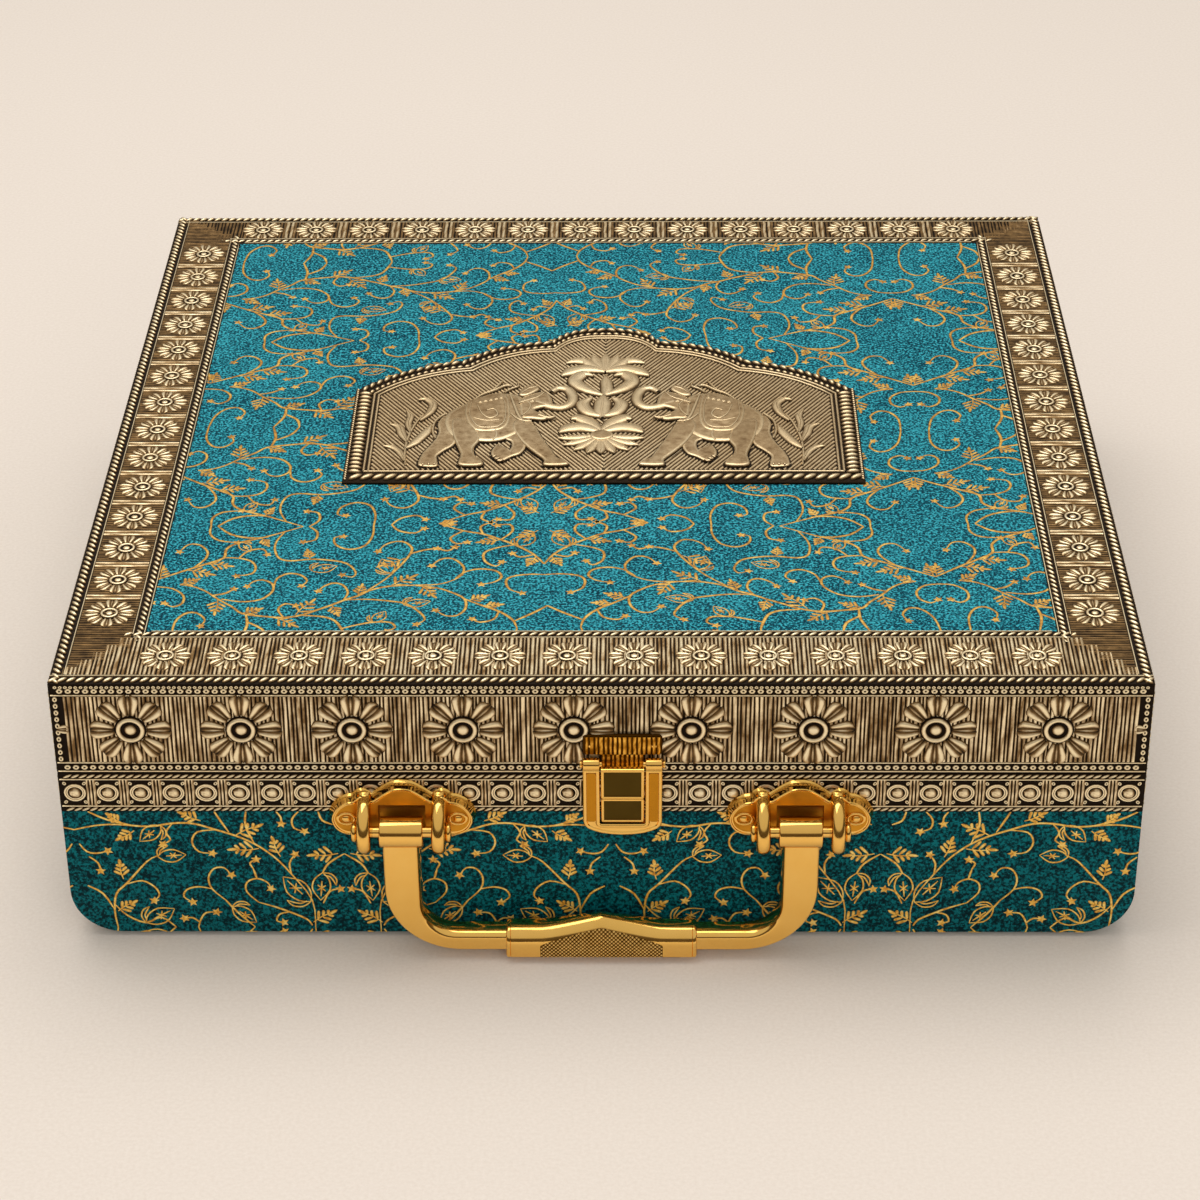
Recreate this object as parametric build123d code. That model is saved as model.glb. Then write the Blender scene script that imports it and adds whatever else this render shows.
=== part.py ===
from build123d import *
import os
from math import cos, pi, sin, sqrt

os.makedirs("parts", exist_ok=True)

# Dry fruit box. Millimetres, +Z up, the front faces -Y, the origin is on the table
# under the middle of the box.

# The box as a whole
box_width = 300.0
box_depth = 300.0
foot_height = 1.5
seam_z = 56.1
seam_gap = 0.4
top_z = 85.3
corner_radius = 14.0
facets_small = 8
facets_head = 12

# Boards and skins
board = 6.0
top_board = 4.0
skin = 0.6
liner_board = 2.5
liner_lip = 4.0
lip_clearance = 0.6
slip = 0.3
tight = 0.1
over = 1.0

# Feet
foot_radius = 7.0
foot_inset = 22.0

# Embossed metal skin on the sides
band_height = 12.9
rosette_radius = 11.0
rosette_height = 0.9
petals = 8
boss_radius = 4.0
boss_rise = 0.35
petal_valley = 7.6
rosette_pitch_left = 30.3
rosette_start_left = -128.5
rosettes_left = 5
rosette_pitch_right = 33.3
rosette_start_right = 24.8
rosettes_right = 4
rosette_pitch_side = 31.5
rosettes_side = 9
line_width = 0.7
line_height = 0.5
bead_width = 1.8
bead_height = 0.8
rope_width = 2.6
rope_height = 0.9
small_rope_width = 1.1
small_rope_height = 0.5

# Border strips round the top panel
border_front = 27.0
border_back = 21.0
border_side = 23.5
small_rosette_radius = 6.0
small_rosette_height = 0.7
small_rosette_pitch = 18.4
small_rosettes_across = 14
small_rosettes_deep = 14

# Plaque on the top panel
plaque_thickness = 0.9
plaque_half_width = 78.5
plaque_front = 110.0
plaque_shoulder = 169.0
plaque_cusp_outer = (46.0, 189.3)
plaque_cusp_inner = (18.0, 202.6)
plaque_peak = 211.8
plaque_lobe_rise = 3.2
plaque_edge = 0.6
plaque_rope = 4.6
plaque_rope_height = 1.6
plaque_line = 1.2
plaque_line_height = 0.7
figure_height = 1.1
saddle_height = 0.3
leaf_height = 0.8

# Figures of the plaque's left half, in percent of its half width and its depth
elephant_shape = [
    (-63, 39), (-66, 35), (-65, 28), (-67, 22), (-71, 16), (-71, 9), (-64, 8), (-64, 14), (-59, 21),
    (-56, 15), (-56, 9), (-47, 9), (-50, 16), (-48, 24), (-43, 24), (-44, 15), (-40, 11), (-34, 15),
    (-30, 20), (-23, 12), (-23, 9), (-14, 9), (-18, 13), (-24, 25), (-29, 37), (-24, 37), (-21, 39),
    (-25, 44), (-18, 43), (-11, 47), (-10, 52), (-14, 58), (-19, 60), (-23, 56), (-20, 55), (-16, 54),
    (-15, 51), (-18, 48), (-22, 50), (-23, 53), (-27, 56), (-29, 60), (-33, 57), (-38, 54), (-43, 53),
    (-48, 51), (-54, 48), (-59, 45)]
saddle_shape = [
    (-55, 48), (-55, 39), (-52, 31), (-46, 29), (-40, 31), (-37, 36), (-37, 46), (-39, 53), (-45, 53),
    (-51, 50)]
sprig_shapes = [
    [(-78, 9), (-76, 9), (-76, 27), (-73, 36), (-68, 45), (-69, 51), (-75, 51), (-71, 47), (-73, 42),
     (-76, 35), (-78, 27)],
    [(-77, 12), (-80, 20), (-86, 22), (-82, 16)],
    [(-77, 20), (-70, 26), (-68, 35), (-73, 29)],
    [(-77, 25), (-78, 32), (-85, 35), (-82, 28)]]
column_shapes = [
    [(0, 38), (7, 43), (9, 49), (5, 54), (-5, 54), (-9, 49), (-7, 43)],
    [(0, 51), (8, 57), (12, 63), (8, 68), (-8, 68), (-12, 63), (-8, 57)],
    [(-18, 66), (-11, 72), (-16, 75), (-5, 78), (0, 82), (5, 78), (16, 75), (11, 72), (18, 66), (6, 69),
     (0, 65), (-6, 69)]]
lotus_petals = 9
lotus_reach = 0.158
lotus_hollow = 0.09
lotus_height = 0.28

# Dividers
divider_thickness = 4.0
divider_height = 40.0
floor_pad = 2.0
lid_pad = 3.0

# Handle
handle_span = 110.0
pivot_z = 42.0
pivot_reach = 8.0
pin_radius = 1.6
running_clearance = 0.05
eye_radius = 4.4
eye_width = 12.0
arm_width = 10.3
bar_height = 6.0
bail_thickness = 6.0
bail_drop = 38.6
bend_outer = 21.0
bend_inner = 9.5
bail_edge = 0.9
grip_length = 53.4
grip_thickness = 9.2
grip_height = 8.8
grip_peak = 3.4
grip_peak_run = 15.0
grip_shoulder = 0.5
grip_corner = 2.0

# Handle brackets
plate_thickness = 1.6
lobe_radius = 5.4
lobe_offset = 14.3
arch_radius = 7.6
arch_top = 11.3
bump_radius = 2.6
bump_top = 8.4
lug_offset = 10.3
lug_width = 3.8
lug_radius = 5.2
lug_edge = 0.9
pin_head_radius = 2.9
pin_head_height = 1.6
eyelet_radius = 2.6
eyelet_height = 0.7
eyelet_rim = 0.6
bracket_screw_rise = 0.5
screw_shank = 1.1
screw_length = 5.0
screw_taper = 30.0

# Latch
latch_x = 6.0
latch_pin_z = 61.4
latch_pin_reach = 3.4
latch_pin_radius = 0.8
latch_pin_head = 0.6
latch_pin_head_radius = 1.2
latch_knuckle = 1.8
latch_width = 21.8
latch_arm = 4.6
latch_bail_thickness = 2.6
latch_window_bottom = 42.4
latch_corner_z = 41.2
latch_tip_z = 38.8
latch_side_gap = 0.4
pan_bottom = 52.7
pan_thickness = 1.6
catch_thickness = 1.2
catch_step = 0.4
latch_flange_height = 6.2
latch_flange = 0.8
latch_rim = 0.7
latch_rim_height = 0.45
latch_groove_inset = 0.2
latch_screw_offset = 8.6
latch_screw_rise = 2.6
latch_screw_head = 1.7
latch_screw_dome = 0.6
prong_width = 2.0
prong_thickness = 0.8

# Hinges at the back
hinge_inset = 60.0
hinge_width = 36.0
hinge_leaf = 0.8
hinge_leaf_height = 11.0
hinge_knuckle = 2.3
hinge_reach = 2.5
hinge_pin_radius = 1.2
hinge_middle = 12.0
knuckle_gap = 0.2
leaf_notch = 0.3
stop_length = 6.5
stop_thickness = 1.6
hinge_screw_spread = 24.0
hinge_screw_head = 1.9
hinge_screw_rise = 0.5

half_width = box_width / 2
hinge_offset = half_width - hinge_inset
half_depth = box_depth / 2
front_face = -half_depth
back_face = half_depth
board_x = half_width - skin
board_y = half_depth - skin
board_bottom = foot_height + skin
board_radius = corner_radius - skin
inner_x = board_x - board
inner_y = board_y - board
floor_top = board_bottom + board
inner_radius = board_radius - board
lid_bottom = seam_z + seam_gap
lid_board_top = top_z - skin
lid_inner_top = lid_board_top - top_board
band_bottom = seam_z - band_height
hinge_y = back_face + hinge_reach
hinge_z = seam_z + seam_gap / 2
pivot_y = front_face - pivot_reach
eyelet_face = front_face - plate_thickness - eyelet_height
latch_y = front_face - latch_pin_reach
lid_side = lid_board_top - lid_bottom


def block(x0, x1, y0, y1, z0, z1):
    """A straight piece given by its limits along X, Y and Z."""
    middle = Pos((x0 + x1) / 2, (y0 + y1) / 2, (z0 + z1) / 2)
    return middle * Box(x1 - x0, y1 - y0, z1 - z0)


def upright(sketch, y0, y1):
    """A front-view outline given depth from y0 to y1."""
    return extrude(Plane.XZ.offset(-y1) * sketch, amount=y1 - y0)


def along_x(sketch, x0, x1):
    """A side-view outline given length from x0 to x1."""
    return extrude(Plane.YZ.offset(x0) * sketch, amount=x1 - x0)


def rod_x(x0, x1, y, z, radius):
    """A round rod lying along X."""
    return Pos((x0 + x1) / 2, y, z) * Rot(0, 90, 0) * Cylinder(radius, x1 - x0)


def rod_y(x, y0, y1, z, radius):
    """A round rod pointing along Y."""
    return Pos(x, (y0 + y1) / 2, z) * Rot(90, 0, 0) * Cylinder(radius, y1 - y0)


def shank_hole(x, y0, y1, z):
    """Room for a screw's shank along Y: eight flats, as the shank has."""
    return upright(Pos(x, z) * RegularPolygon(screw_shank, facets_small), y0, y1)


def polygon(points):
    """A filled outline through the points."""
    return make_face(Polyline(*points, close=True))


def tray_outline(half, bottom, top, radius):
    """Front view of the base: upright sides and two rounded lower corners."""
    outline = Rectangle(2 * half, top - bottom)
    lower = outline.vertices().sort_by(Axis.Y)[:2]
    return Pos(0, (top + bottom) / 2) * fillet(lower, radius)


def mirror_x(shape):
    """The same piece on the other side of the middle."""
    return mirror(shape, about=Plane.YZ)


# Places shared by the pieces
bracket_centres = [-handle_span / 2, handle_span / 2]
bracket_screw_x = [c + s * lobe_offset for c in bracket_centres for s in (-1, 1)]
hinge_centres = [-hinge_offset, hinge_offset]
hinge_screw_x = [c + s * hinge_screw_spread / 2 for c in hinge_centres for s in (-1, 1)]
lower_leaf_top = hinge_z - hinge_knuckle - leaf_notch
lower_leaf_bottom = lower_leaf_top - hinge_leaf_height
upper_leaf_bottom = hinge_z + hinge_knuckle + leaf_notch
upper_leaf_top = upper_leaf_bottom + hinge_leaf_height
lower_screw_z = (lower_leaf_bottom + lower_leaf_top) / 2
upper_screw_z = (upper_leaf_bottom + upper_leaf_top) / 2
latch_flange_bottom = latch_pin_z + latch_knuckle + slip
latch_flange_top = latch_flange_bottom + latch_flange_height
latch_screw_z = latch_flange_bottom + latch_screw_rise
latch_screw_x = [latch_x - latch_screw_offset, latch_x + latch_screw_offset]
prong_x = [latch_x - prong_width, latch_x + prong_width]
catch_top = pan_bottom - catch_step
catch_bottom = latch_window_bottom + latch_side_gap
catch_prong_z = (catch_top + catch_bottom) / 2
front_screw_end = front_face + screw_length
back_screw_end = back_face - screw_length


def base_screw_holes():
    """Pilot holes and prong slots in the front of the base, hinge holes in the back."""
    holes = [shank_hole(x, front_face, front_screw_end, pivot_z) for x in bracket_screw_x]
    holes += [prong(x, tight) for x in prong_x]
    holes += [shank_hole(x, back_screw_end, back_face, lower_screw_z) for x in hinge_screw_x]
    return holes


def lid_screw_holes():
    """Pilot holes in the front of the lid for the latch, in its back for the hinges."""
    holes = [shank_hole(x, front_face, front_screw_end, latch_screw_z) for x in latch_screw_x]
    holes += [shank_hole(x, back_screw_end, back_face, upper_screw_z) for x in hinge_screw_x]
    return holes


def prong(x, growth=0.0):
    """One flat prong of the catch, driven through the front board."""
    half = prong_thickness / 2 + growth
    end = front_face + skin + board
    return block(x - half, x + half, front_face, end, catch_prong_z - 2 * half, catch_prong_z + 2 * half)


def without(shape, cutters):
    """The shape with a list of cutters taken off."""
    for cutter in cutters:
        shape = shape - cutter
    return shape


# The base

def base_end_board(y0, y1):
    """Front or back board, with the rounded lower corners of the base."""
    outline = tray_outline(board_x, board_bottom, seam_z, board_radius)
    return without(upright(outline, y0, y1), base_screw_holes())


def base_side_board(side):
    """Left or right board, between the front and back boards, above the rounded rail."""
    x0, x1 = sorted((side * inner_x, side * board_x))
    return block(x0, x1, -inner_y, inner_y, board_bottom + board_radius, seam_z)


def base_edge_rail(side):
    """Quarter-round rail along a lower edge, coved on the inside to the boards' thickness."""
    centre = board_x - board_radius
    outer = Circle(board_radius) - Circle(inner_radius)
    quarter = outer & Pos(board_radius / 2, -board_radius / 2) * Rectangle(board_radius, board_radius)
    sketch = Pos(centre, board_bottom + board_radius) * quarter
    rail = upright(sketch, -inner_y, inner_y)
    return rail if side > 0 else mirror_x(rail)


def base_floor():
    half = board_x - board_radius
    return block(-half, half, -inner_y, inner_y, board_bottom, floor_top)


def base_cloth():
    """Printed cloth glued round the base, up to the metal band."""
    outer = upright(tray_outline(half_width, foot_height, band_bottom, corner_radius), front_face, back_face)
    overshoot = seam_z
    inner = upright(tray_outline(board_x, board_bottom, overshoot, board_radius), -board_y, board_y)
    return without(outer - inner, base_screw_holes())


def foot_set():
    """Four low rubber feet."""
    reach_x = half_width - foot_inset
    reach_y = half_depth - foot_inset
    feet = [Pos(x, y, foot_height / 2) * Cylinder(foot_radius, foot_height)
            for x in (-reach_x, reach_x) for y in (-reach_y, reach_y)]
    return Compound(children=feet)


def liner_end(side):
    """Liner along the front or back board, its lip standing above the rim."""
    lip_top = seam_z + liner_lip
    inner_face = inner_y - liner_board
    outline = tray_outline(inner_x, floor_top, lip_top, inner_radius)
    y0, y1 = sorted((side * inner_face, side * inner_y))
    liner = upright(outline, y0, y1)
    for x0, x1, ya, yb in ((-half_width, half_width, inner_y - lip_clearance, inner_y),
                           (inner_x - lip_clearance, half_width, 0, half_depth),
                           (-half_width, -inner_x + lip_clearance, 0, half_depth)):
        y0, y1 = sorted((side * ya, side * yb))
        liner = liner - block(x0, x1, y0, y1, seam_z, lip_top + over)
    return liner


def liner_side(side):
    """Liner along a side board, between the front and back liners."""
    bottom = floor_top + inner_radius
    lip_top = seam_z + liner_lip
    run = inner_y - liner_board
    outline = polygon([(inner_x - liner_board, bottom), (inner_x, bottom), (inner_x, seam_z),
                       (inner_x - lip_clearance, seam_z), (inner_x - lip_clearance, lip_top),
                       (inner_x - liner_board, lip_top)])
    liner = upright(outline, -run, run)
    return liner if side > 0 else mirror_x(liner)


def compartment_pad():
    """Cloth-covered card on the floor."""
    half = board_x - board_radius - slip
    run = inner_y - liner_board - slip
    return block(-half, half, -run, run, floor_top, floor_top + floor_pad)


def divider(length, notch_up):
    """A divider board with a half-lap slot at its middle, standing on the pad."""
    bottom = floor_top + floor_pad
    top = bottom + divider_height
    middle = (bottom + top) / 2
    plate = block(-length / 2, length / 2, -divider_thickness / 2, divider_thickness / 2, bottom, top)
    half = divider_thickness / 2 + slip / 2
    z0, z1 = (middle, top) if notch_up else (bottom, middle)
    return plate - block(-half, half, -half, half, z0, z1)


def divider_across():
    return divider(2 * (inner_x - liner_board - slip), True)


def divider_deep():
    length = 2 * (inner_y - liner_board - slip)
    return Rot(0, 0, 90) * divider(length, False)


# Embossed metal

def petal_flower(valley, tip, height):
    """Raised flower of pointed petals, lying in the XY plane."""
    points = []
    for k in range(2 * petals):
        angle = pi * k / petals
        reach = tip if k % 2 == 0 else valley
        points.append((reach * cos(angle), reach * sin(angle)))
    return extrude(polygon(points), amount=height)


def rosette():
    """Large rosette: petals round a raised boss."""
    flower = petal_flower(petal_valley, rosette_radius, rosette_height)
    return flower + extrude(RegularPolygon(boss_radius, petals), amount=rosette_height + boss_rise)


def small_rosette():
    """Border rosette, whose petals run together into eight short sides."""
    return extrude(RegularPolygon(small_rosette_radius, petals), amount=small_rosette_height)


def ridge(u0, u1, v, width, height):
    """A straight raised moulding with sloping sides, along u, in the XY plane."""
    foot = width / 2
    crown = width / 4
    outline = [(v - foot, 0), (v + foot, 0), (v + crown, height), (v - crown, height)]
    return along_x(polygon(outline), u0, u1)


def side_rosette_places(flipped):
    """Rosette centres along the front strip, or its mirror image on the back."""
    places = [rosette_start_left + rosette_pitch_left * k for k in range(rosettes_left)]
    places += [rosette_start_right + rosette_pitch_right * k for k in range(rosettes_right)]
    return [-p for p in places] if flipped else places


def even_rosette_places():
    """Rosette centres along a side strip."""
    middle = (rosettes_side - 1) / 2
    return [rosette_pitch_side * (k - middle) for k in range(rosettes_side)]


def lid_strip(half, places):
    """Lid side skin, drawn flat: u along the strip, v up from the lid's lower edge."""
    sheet = block(-half, half, 0, lid_side, -skin, 0)
    run = half - rope_width / 2
    top_bead = lid_side - bead_width / 2 - line_width / 2
    top_line = top_bead - bead_width / 2 - line_width
    low_bead = bead_width / 2 + line_width / 2
    low_line = low_bead + bead_width / 2 + line_width
    relief = [ridge(-run, run, top_bead, bead_width, bead_height),
              ridge(-run, run, top_line, line_width, line_height),
              ridge(-run, run, low_bead, bead_width, bead_height),
              ridge(-run, run, low_line, line_width, line_height)]
    middle = (top_line + low_line) / 2
    relief += [Pos(u, middle, 0) * rosette() for u in places]
    return sheet, relief


def band_strip(half):
    """Base band skin, drawn flat, with its rope rows."""
    sheet = block(-half, half, 0, band_height, -skin, 0)
    run = half - small_rope_width
    low = small_rope_width
    high = band_height - small_rope_width
    relief = [ridge(-run, run, low, small_rope_width, small_rope_height),
              ridge(-run, run, high, small_rope_width, small_rope_height)]
    return sheet, relief


def stand_on_side(shape, turn, bottom):
    """Stands a flat strip on the front, left, back or right face of the box."""
    reach = half_depth if turn % 180 == 0 else half_width
    return Rot(0, 0, turn) * Pos(0, -reach, bottom) * Rot(90, 0, 0) * shape


def metal_skin(strip, turn, bottom, clear, holes):
    """A strip with its relief, kept clear of the plates that lie on it."""
    sheet, relief = strip
    sheet = without(stand_on_side(sheet, turn, bottom), holes)
    raised = [stand_on_side(piece, turn, bottom) for piece in relief]
    trimmed = [without(piece, [c for c in clear if touches(piece, c)]) for piece in raised]
    return sheet.fuse(*[solid for piece in trimmed for solid in piece.solids()])


def touches(a, b):
    """True when the two pieces' boxes meet."""
    p, q = a.bounding_box(), b.bounding_box()
    return (p.min.X < q.max.X and q.min.X < p.max.X and p.min.Y < q.max.Y
            and q.min.Y < p.max.Y and p.min.Z < q.max.Z and q.min.Z < p.max.Z)


def bracket_clearances():
    """Room for the bracket plates on the front of the base."""
    reach = lobe_offset + lobe_radius + slip
    rise = arch_top + slip
    return [block(c - reach, c + reach, front_face - plate_thickness, front_face, pivot_z, pivot_z + rise)
            for c in bracket_centres]


def latch_clearances():
    """Room for the latch plates on the front."""
    half = latch_width / 2 + slip
    return [block(latch_x - half, latch_x + half, front_face - pan_thickness, front_face,
                  band_bottom - slip, latch_flange_top + slip)]


def hinge_clearances():
    """Room for the hinges on the back."""
    half = hinge_width / 2 + slip
    return [block(c - half, c + half, back_face, back_face + 2 * hinge_reach,
                  lower_leaf_bottom - slip, upper_leaf_top + slip) for c in hinge_centres]


def lid_skin(turn):
    """Embossed skin on one side of the lid."""
    front_or_back = turn % 180 == 0
    half = half_width if front_or_back else board_y
    places = side_rosette_places(turn == 180) if front_or_back else even_rosette_places()
    clear = latch_clearances() + hinge_clearances()
    return metal_skin(lid_strip(half, places), turn, lid_bottom, clear, lid_screw_holes())


def base_band(turn):
    """Embossed band on one side of the base's rim."""
    half = half_width if turn % 180 == 0 else board_y
    clear = latch_clearances() + hinge_clearances() + bracket_clearances()
    return metal_skin(band_strip(half), turn, band_bottom, clear, base_screw_holes())


# The lid

def lid_end_board(y0, y1):
    return without(block(-board_x, board_x, y0, y1, lid_bottom, lid_inner_top), lid_screw_holes())


def lid_side_board(side):
    x0, x1 = sorted((side * inner_x, side * board_x))
    return block(x0, x1, -inner_y, inner_y, lid_bottom, lid_inner_top)


def lid_top():
    return block(-board_x, board_x, -board_y, board_y, lid_inner_top, lid_board_top)


def lid_lining():
    """Padded cloth panel under the lid's top board."""
    reach_x = inner_x - slip
    reach_y = inner_y - slip
    return block(-reach_x, reach_x, -reach_y, reach_y, lid_inner_top - lid_pad, lid_inner_top)


panel_x = half_width - border_side
panel_front = front_face + border_front
panel_back = back_face - border_back


def cloth_panel():
    """Printed cloth in the middle of the lid's top."""
    return block(-panel_x, panel_x, panel_front, panel_back, lid_board_top, top_z)


def border_piece(outline, rows, centres):
    """One mitred border strip with its rope rows and rosettes."""
    strip = Pos(0, 0, lid_board_top) * extrude(polygon(outline), amount=skin)
    raised = [Pos(x, y, top_z) * small_rosette() for x, y in centres]
    return strip.fuse(*[r for r in rows], *raised)


def border_end(side):
    """Front or back strip of the border."""
    outer = side * half_depth
    inner = panel_back if side > 0 else panel_front
    outline = [(-half_width, outer), (half_width, outer), (panel_x, inner), (-panel_x, inner)]
    outer_row = outer - side * rope_width / 2
    inner_row = inner + side * small_rope_width
    rows = [Pos(0, 0, top_z) * ridge(-half_width + rope_width, half_width - rope_width, outer_row,
                                     rope_width, rope_height),
            Pos(0, 0, top_z) * ridge(-panel_x, panel_x, inner_row, 2 * small_rope_width, small_rope_height)]
    middle = (outer + inner) / 2
    first = -(small_rosettes_across - 1) / 2 * small_rosette_pitch
    centres = [(first + small_rosette_pitch * k, middle) for k in range(small_rosettes_across)]
    return border_piece(outline, rows, centres)


def border_side_strip(side):
    """Left or right strip of the border."""
    outline = [(side * half_width, front_face), (side * half_width, back_face),
               (side * panel_x, panel_back), (side * panel_x, panel_front)]
    outer_x = side * (half_width - rope_width / 2)
    inner_x_row = side * (panel_x + small_rope_width)
    turn = Rot(0, 0, 90)
    rows = [Pos(0, 0, top_z) * turn * ridge(front_face + rope_width, back_face - rope_width,
                                            -outer_x, rope_width, rope_height),
            Pos(0, 0, top_z) * turn * ridge(panel_front, panel_back, -inner_x_row,
                                            2 * small_rope_width, small_rope_height)]
    middle = side * (half_width + panel_x) / 2
    pitch = (panel_back - panel_front) / small_rosettes_deep
    first = panel_front + pitch / 2
    centres = [(middle, first + pitch * k) for k in range(small_rosettes_deep)]
    return border_piece(outline, rows, centres)


def lobe(start, end):
    """One bulging lobe of the arch, bulging away from the plaque's middle."""
    (xa, ya), (xb, yb) = start, end
    length = sqrt((xb - xa) ** 2 + (yb - ya) ** 2)
    outward = (yb - ya) / length, (xa - xb) / length
    crown = ((xa + xb) / 2 + plaque_lobe_rise * outward[0], (ya + yb) / 2 + plaque_lobe_rise * outward[1])
    return ThreePointArc(start, crown, end)


def plaque_outline(inset):
    """Lobed arch of the plaque, drawn in by the inset."""
    half = plaque_half_width - inset
    front = front_face + plaque_front + inset
    shoulder = front_face + plaque_shoulder - inset / 2
    right = [(half, shoulder),
             (plaque_cusp_outer[0] - inset / 2, front_face + plaque_cusp_outer[1] - inset),
             (plaque_cusp_inner[0] - inset / 4, front_face + plaque_cusp_inner[1] - inset)]
    peak = (0, front_face + plaque_peak - inset)
    arch = right + [peak] + [(-x, y) for x, y in reversed(right)]
    edges = [Line((-half, front), (half, front)), Line((half, front), arch[0])]
    edges += [lobe(start, end) for start, end in zip(arch[:-1], arch[1:])]
    edges.append(Line(arch[-1], (-half, front)))
    return make_face(edges)


def figure(shape, height, flip=1):
    """A raised figure of the plaque; flip is -1 for its mirror image."""
    deep = plaque_peak - plaque_front
    near = front_face + plaque_front
    points = [(flip * x / 100 * plaque_half_width, near + y / 100 * deep) for x, y in shape]
    return extrude(polygon(points), amount=height)


def lotus():
    """Open flower at the foot of the plaque's column."""
    steps = 2 * lotus_petals
    centre = front_face + plaque_front + lotus_height * (plaque_peak - plaque_front)
    points = []
    for k in range(steps):
        radius = plaque_half_width * (lotus_hollow if k % 2 else lotus_reach)
        angle = 2 * pi * k / steps - pi / 2
        points.append((radius * cos(angle), centre + radius * sin(angle)))
    return extrude(polygon(points), amount=figure_height)


def plaque_figures():
    """Two elephants face to face, the flower column between them and a sprig behind each."""
    figures = [lotus()]
    figures += [figure(shape, figure_height) for shape in column_shapes]
    for flip in (1, -1):
        figures.append(figure(elephant_shape, figure_height, flip))
        figures.append(figure(saddle_shape, figure_height + saddle_height, flip))
        figures += [figure(shape, leaf_height, flip) for shape in sprig_shapes]
    return figures


def plaque():
    """Embossed plaque: a plate with a rope rim, a fine inner line and raised figures."""
    plate = extrude(plaque_outline(0), amount=plaque_thickness)
    rope = extrude(plaque_outline(plaque_edge) - plaque_outline(plaque_rope), amount=plaque_rope_height)
    line_out = plaque_rope + plaque_line
    line = extrude(plaque_outline(line_out) - plaque_outline(line_out + plaque_line), amount=plaque_line_height)
    relief = [Pos(0, 0, plaque_thickness) * shape for shape in [rope, line] + plaque_figures()]
    return Pos(0, 0, top_z) * plate.fuse(*relief)


# The handle

def bracket_outline():
    """Front view of a bracket plate round the pivot: end lobes, two bumps and a tall arch."""
    lobes = [Pos(s * lobe_offset, 0) * Circle(lobe_radius) for s in (-1, 1)]
    bumps = [Pos(s * lug_offset, bump_top - bump_radius) * Circle(bump_radius) for s in (-1, 1)]
    web = Rectangle(2 * lobe_offset, 2 * lobe_radius)
    arch = Pos(0, arch_top - arch_radius) * Circle(arch_radius)
    return web + lobes[0] + lobes[1] + bumps[0] + bumps[1] + arch


def lug(x):
    """Rounded lug that carries the pin, standing out of the bracket plate."""
    tongue = Circle(lug_radius) + Pos(pivot_reach / 2, 0) * Rectangle(pivot_reach, 2 * lug_radius)
    body = along_x(tongue, x - lug_width / 2, x + lug_width / 2)
    nose = body.edges().filter_by(GeomType.CIRCLE)
    return chamfer(nose, lug_edge)


def handle_bracket(centre):
    """Bracket plate with two lugs, two screw eyelets and the pin's bore."""
    plate = Pos(0, 0, pivot_z) * upright(bracket_outline(), front_face - plate_thickness, front_face)
    lugs = [Pos(0, pivot_y, pivot_z) * lug(s * lug_offset) for s in (-1, 1)]
    eyelet = RegularPolygon(eyelet_radius, facets_head)
    eyelets = [upright(Pos(s * lobe_offset, pivot_z) * eyelet, eyelet_face, front_face) for s in (-1, 1)]
    bracket = plate + lugs[0] + lugs[1] + eyelets[0] + eyelets[1]
    bracket = bracket - rod_x(-lobe_offset, lobe_offset, pivot_y, pivot_z, pin_radius)
    behind = block(-2 * lobe_offset, 2 * lobe_offset, front_face, 0, 0, top_z)
    bracket = bracket - behind
    for s in (-1, 1):
        bracket = bracket - shank_hole(s * lobe_offset, eyelet_face, front_face, pivot_z)
    return Pos(centre, 0, 0) * bracket


def domed_screw(x, seat, z, towards, head_radius, head_height, length):
    """Low-headed screw along Y: the head stands out of the seat, the shank goes into the board."""
    head = extrude(RegularPolygon(head_radius, facets_small), amount=head_height, taper=screw_taper)
    shank = extrude(RegularPolygon(screw_shank, facets_small), amount=-length)
    turn = Rot(90, 0, 0) if towards < 0 else Rot(-90, 0, 0)
    return Pos(x, seat, z) * turn * (head + shank)


def bracket_screws():
    """The four screws that hold the two brackets."""
    length = front_screw_end - eyelet_face
    head = eyelet_radius - eyelet_rim
    return Compound(children=[domed_screw(x, eyelet_face, pivot_z, -1, head, bracket_screw_rise, length)
                              for x in bracket_screw_x])


def handle_pins():
    """Two headed pins through the lugs."""
    reach = lug_offset + lug_width / 2
    pins = []
    for centre in bracket_centres:
        pin = rod_x(-reach, reach, pivot_y, pivot_z, pin_radius)
        for s in (-1, 1):
            x0, x1 = sorted((s * reach, s * (reach + pin_head_height)))
            head = Pos(pivot_y, pivot_z) * RegularPolygon(pin_head_radius, facets_head)
            pin = pin + along_x(head, x0, x1)
        pins.append(Pos(centre, 0, 0) * pin)
    return Compound(children=pins)


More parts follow.
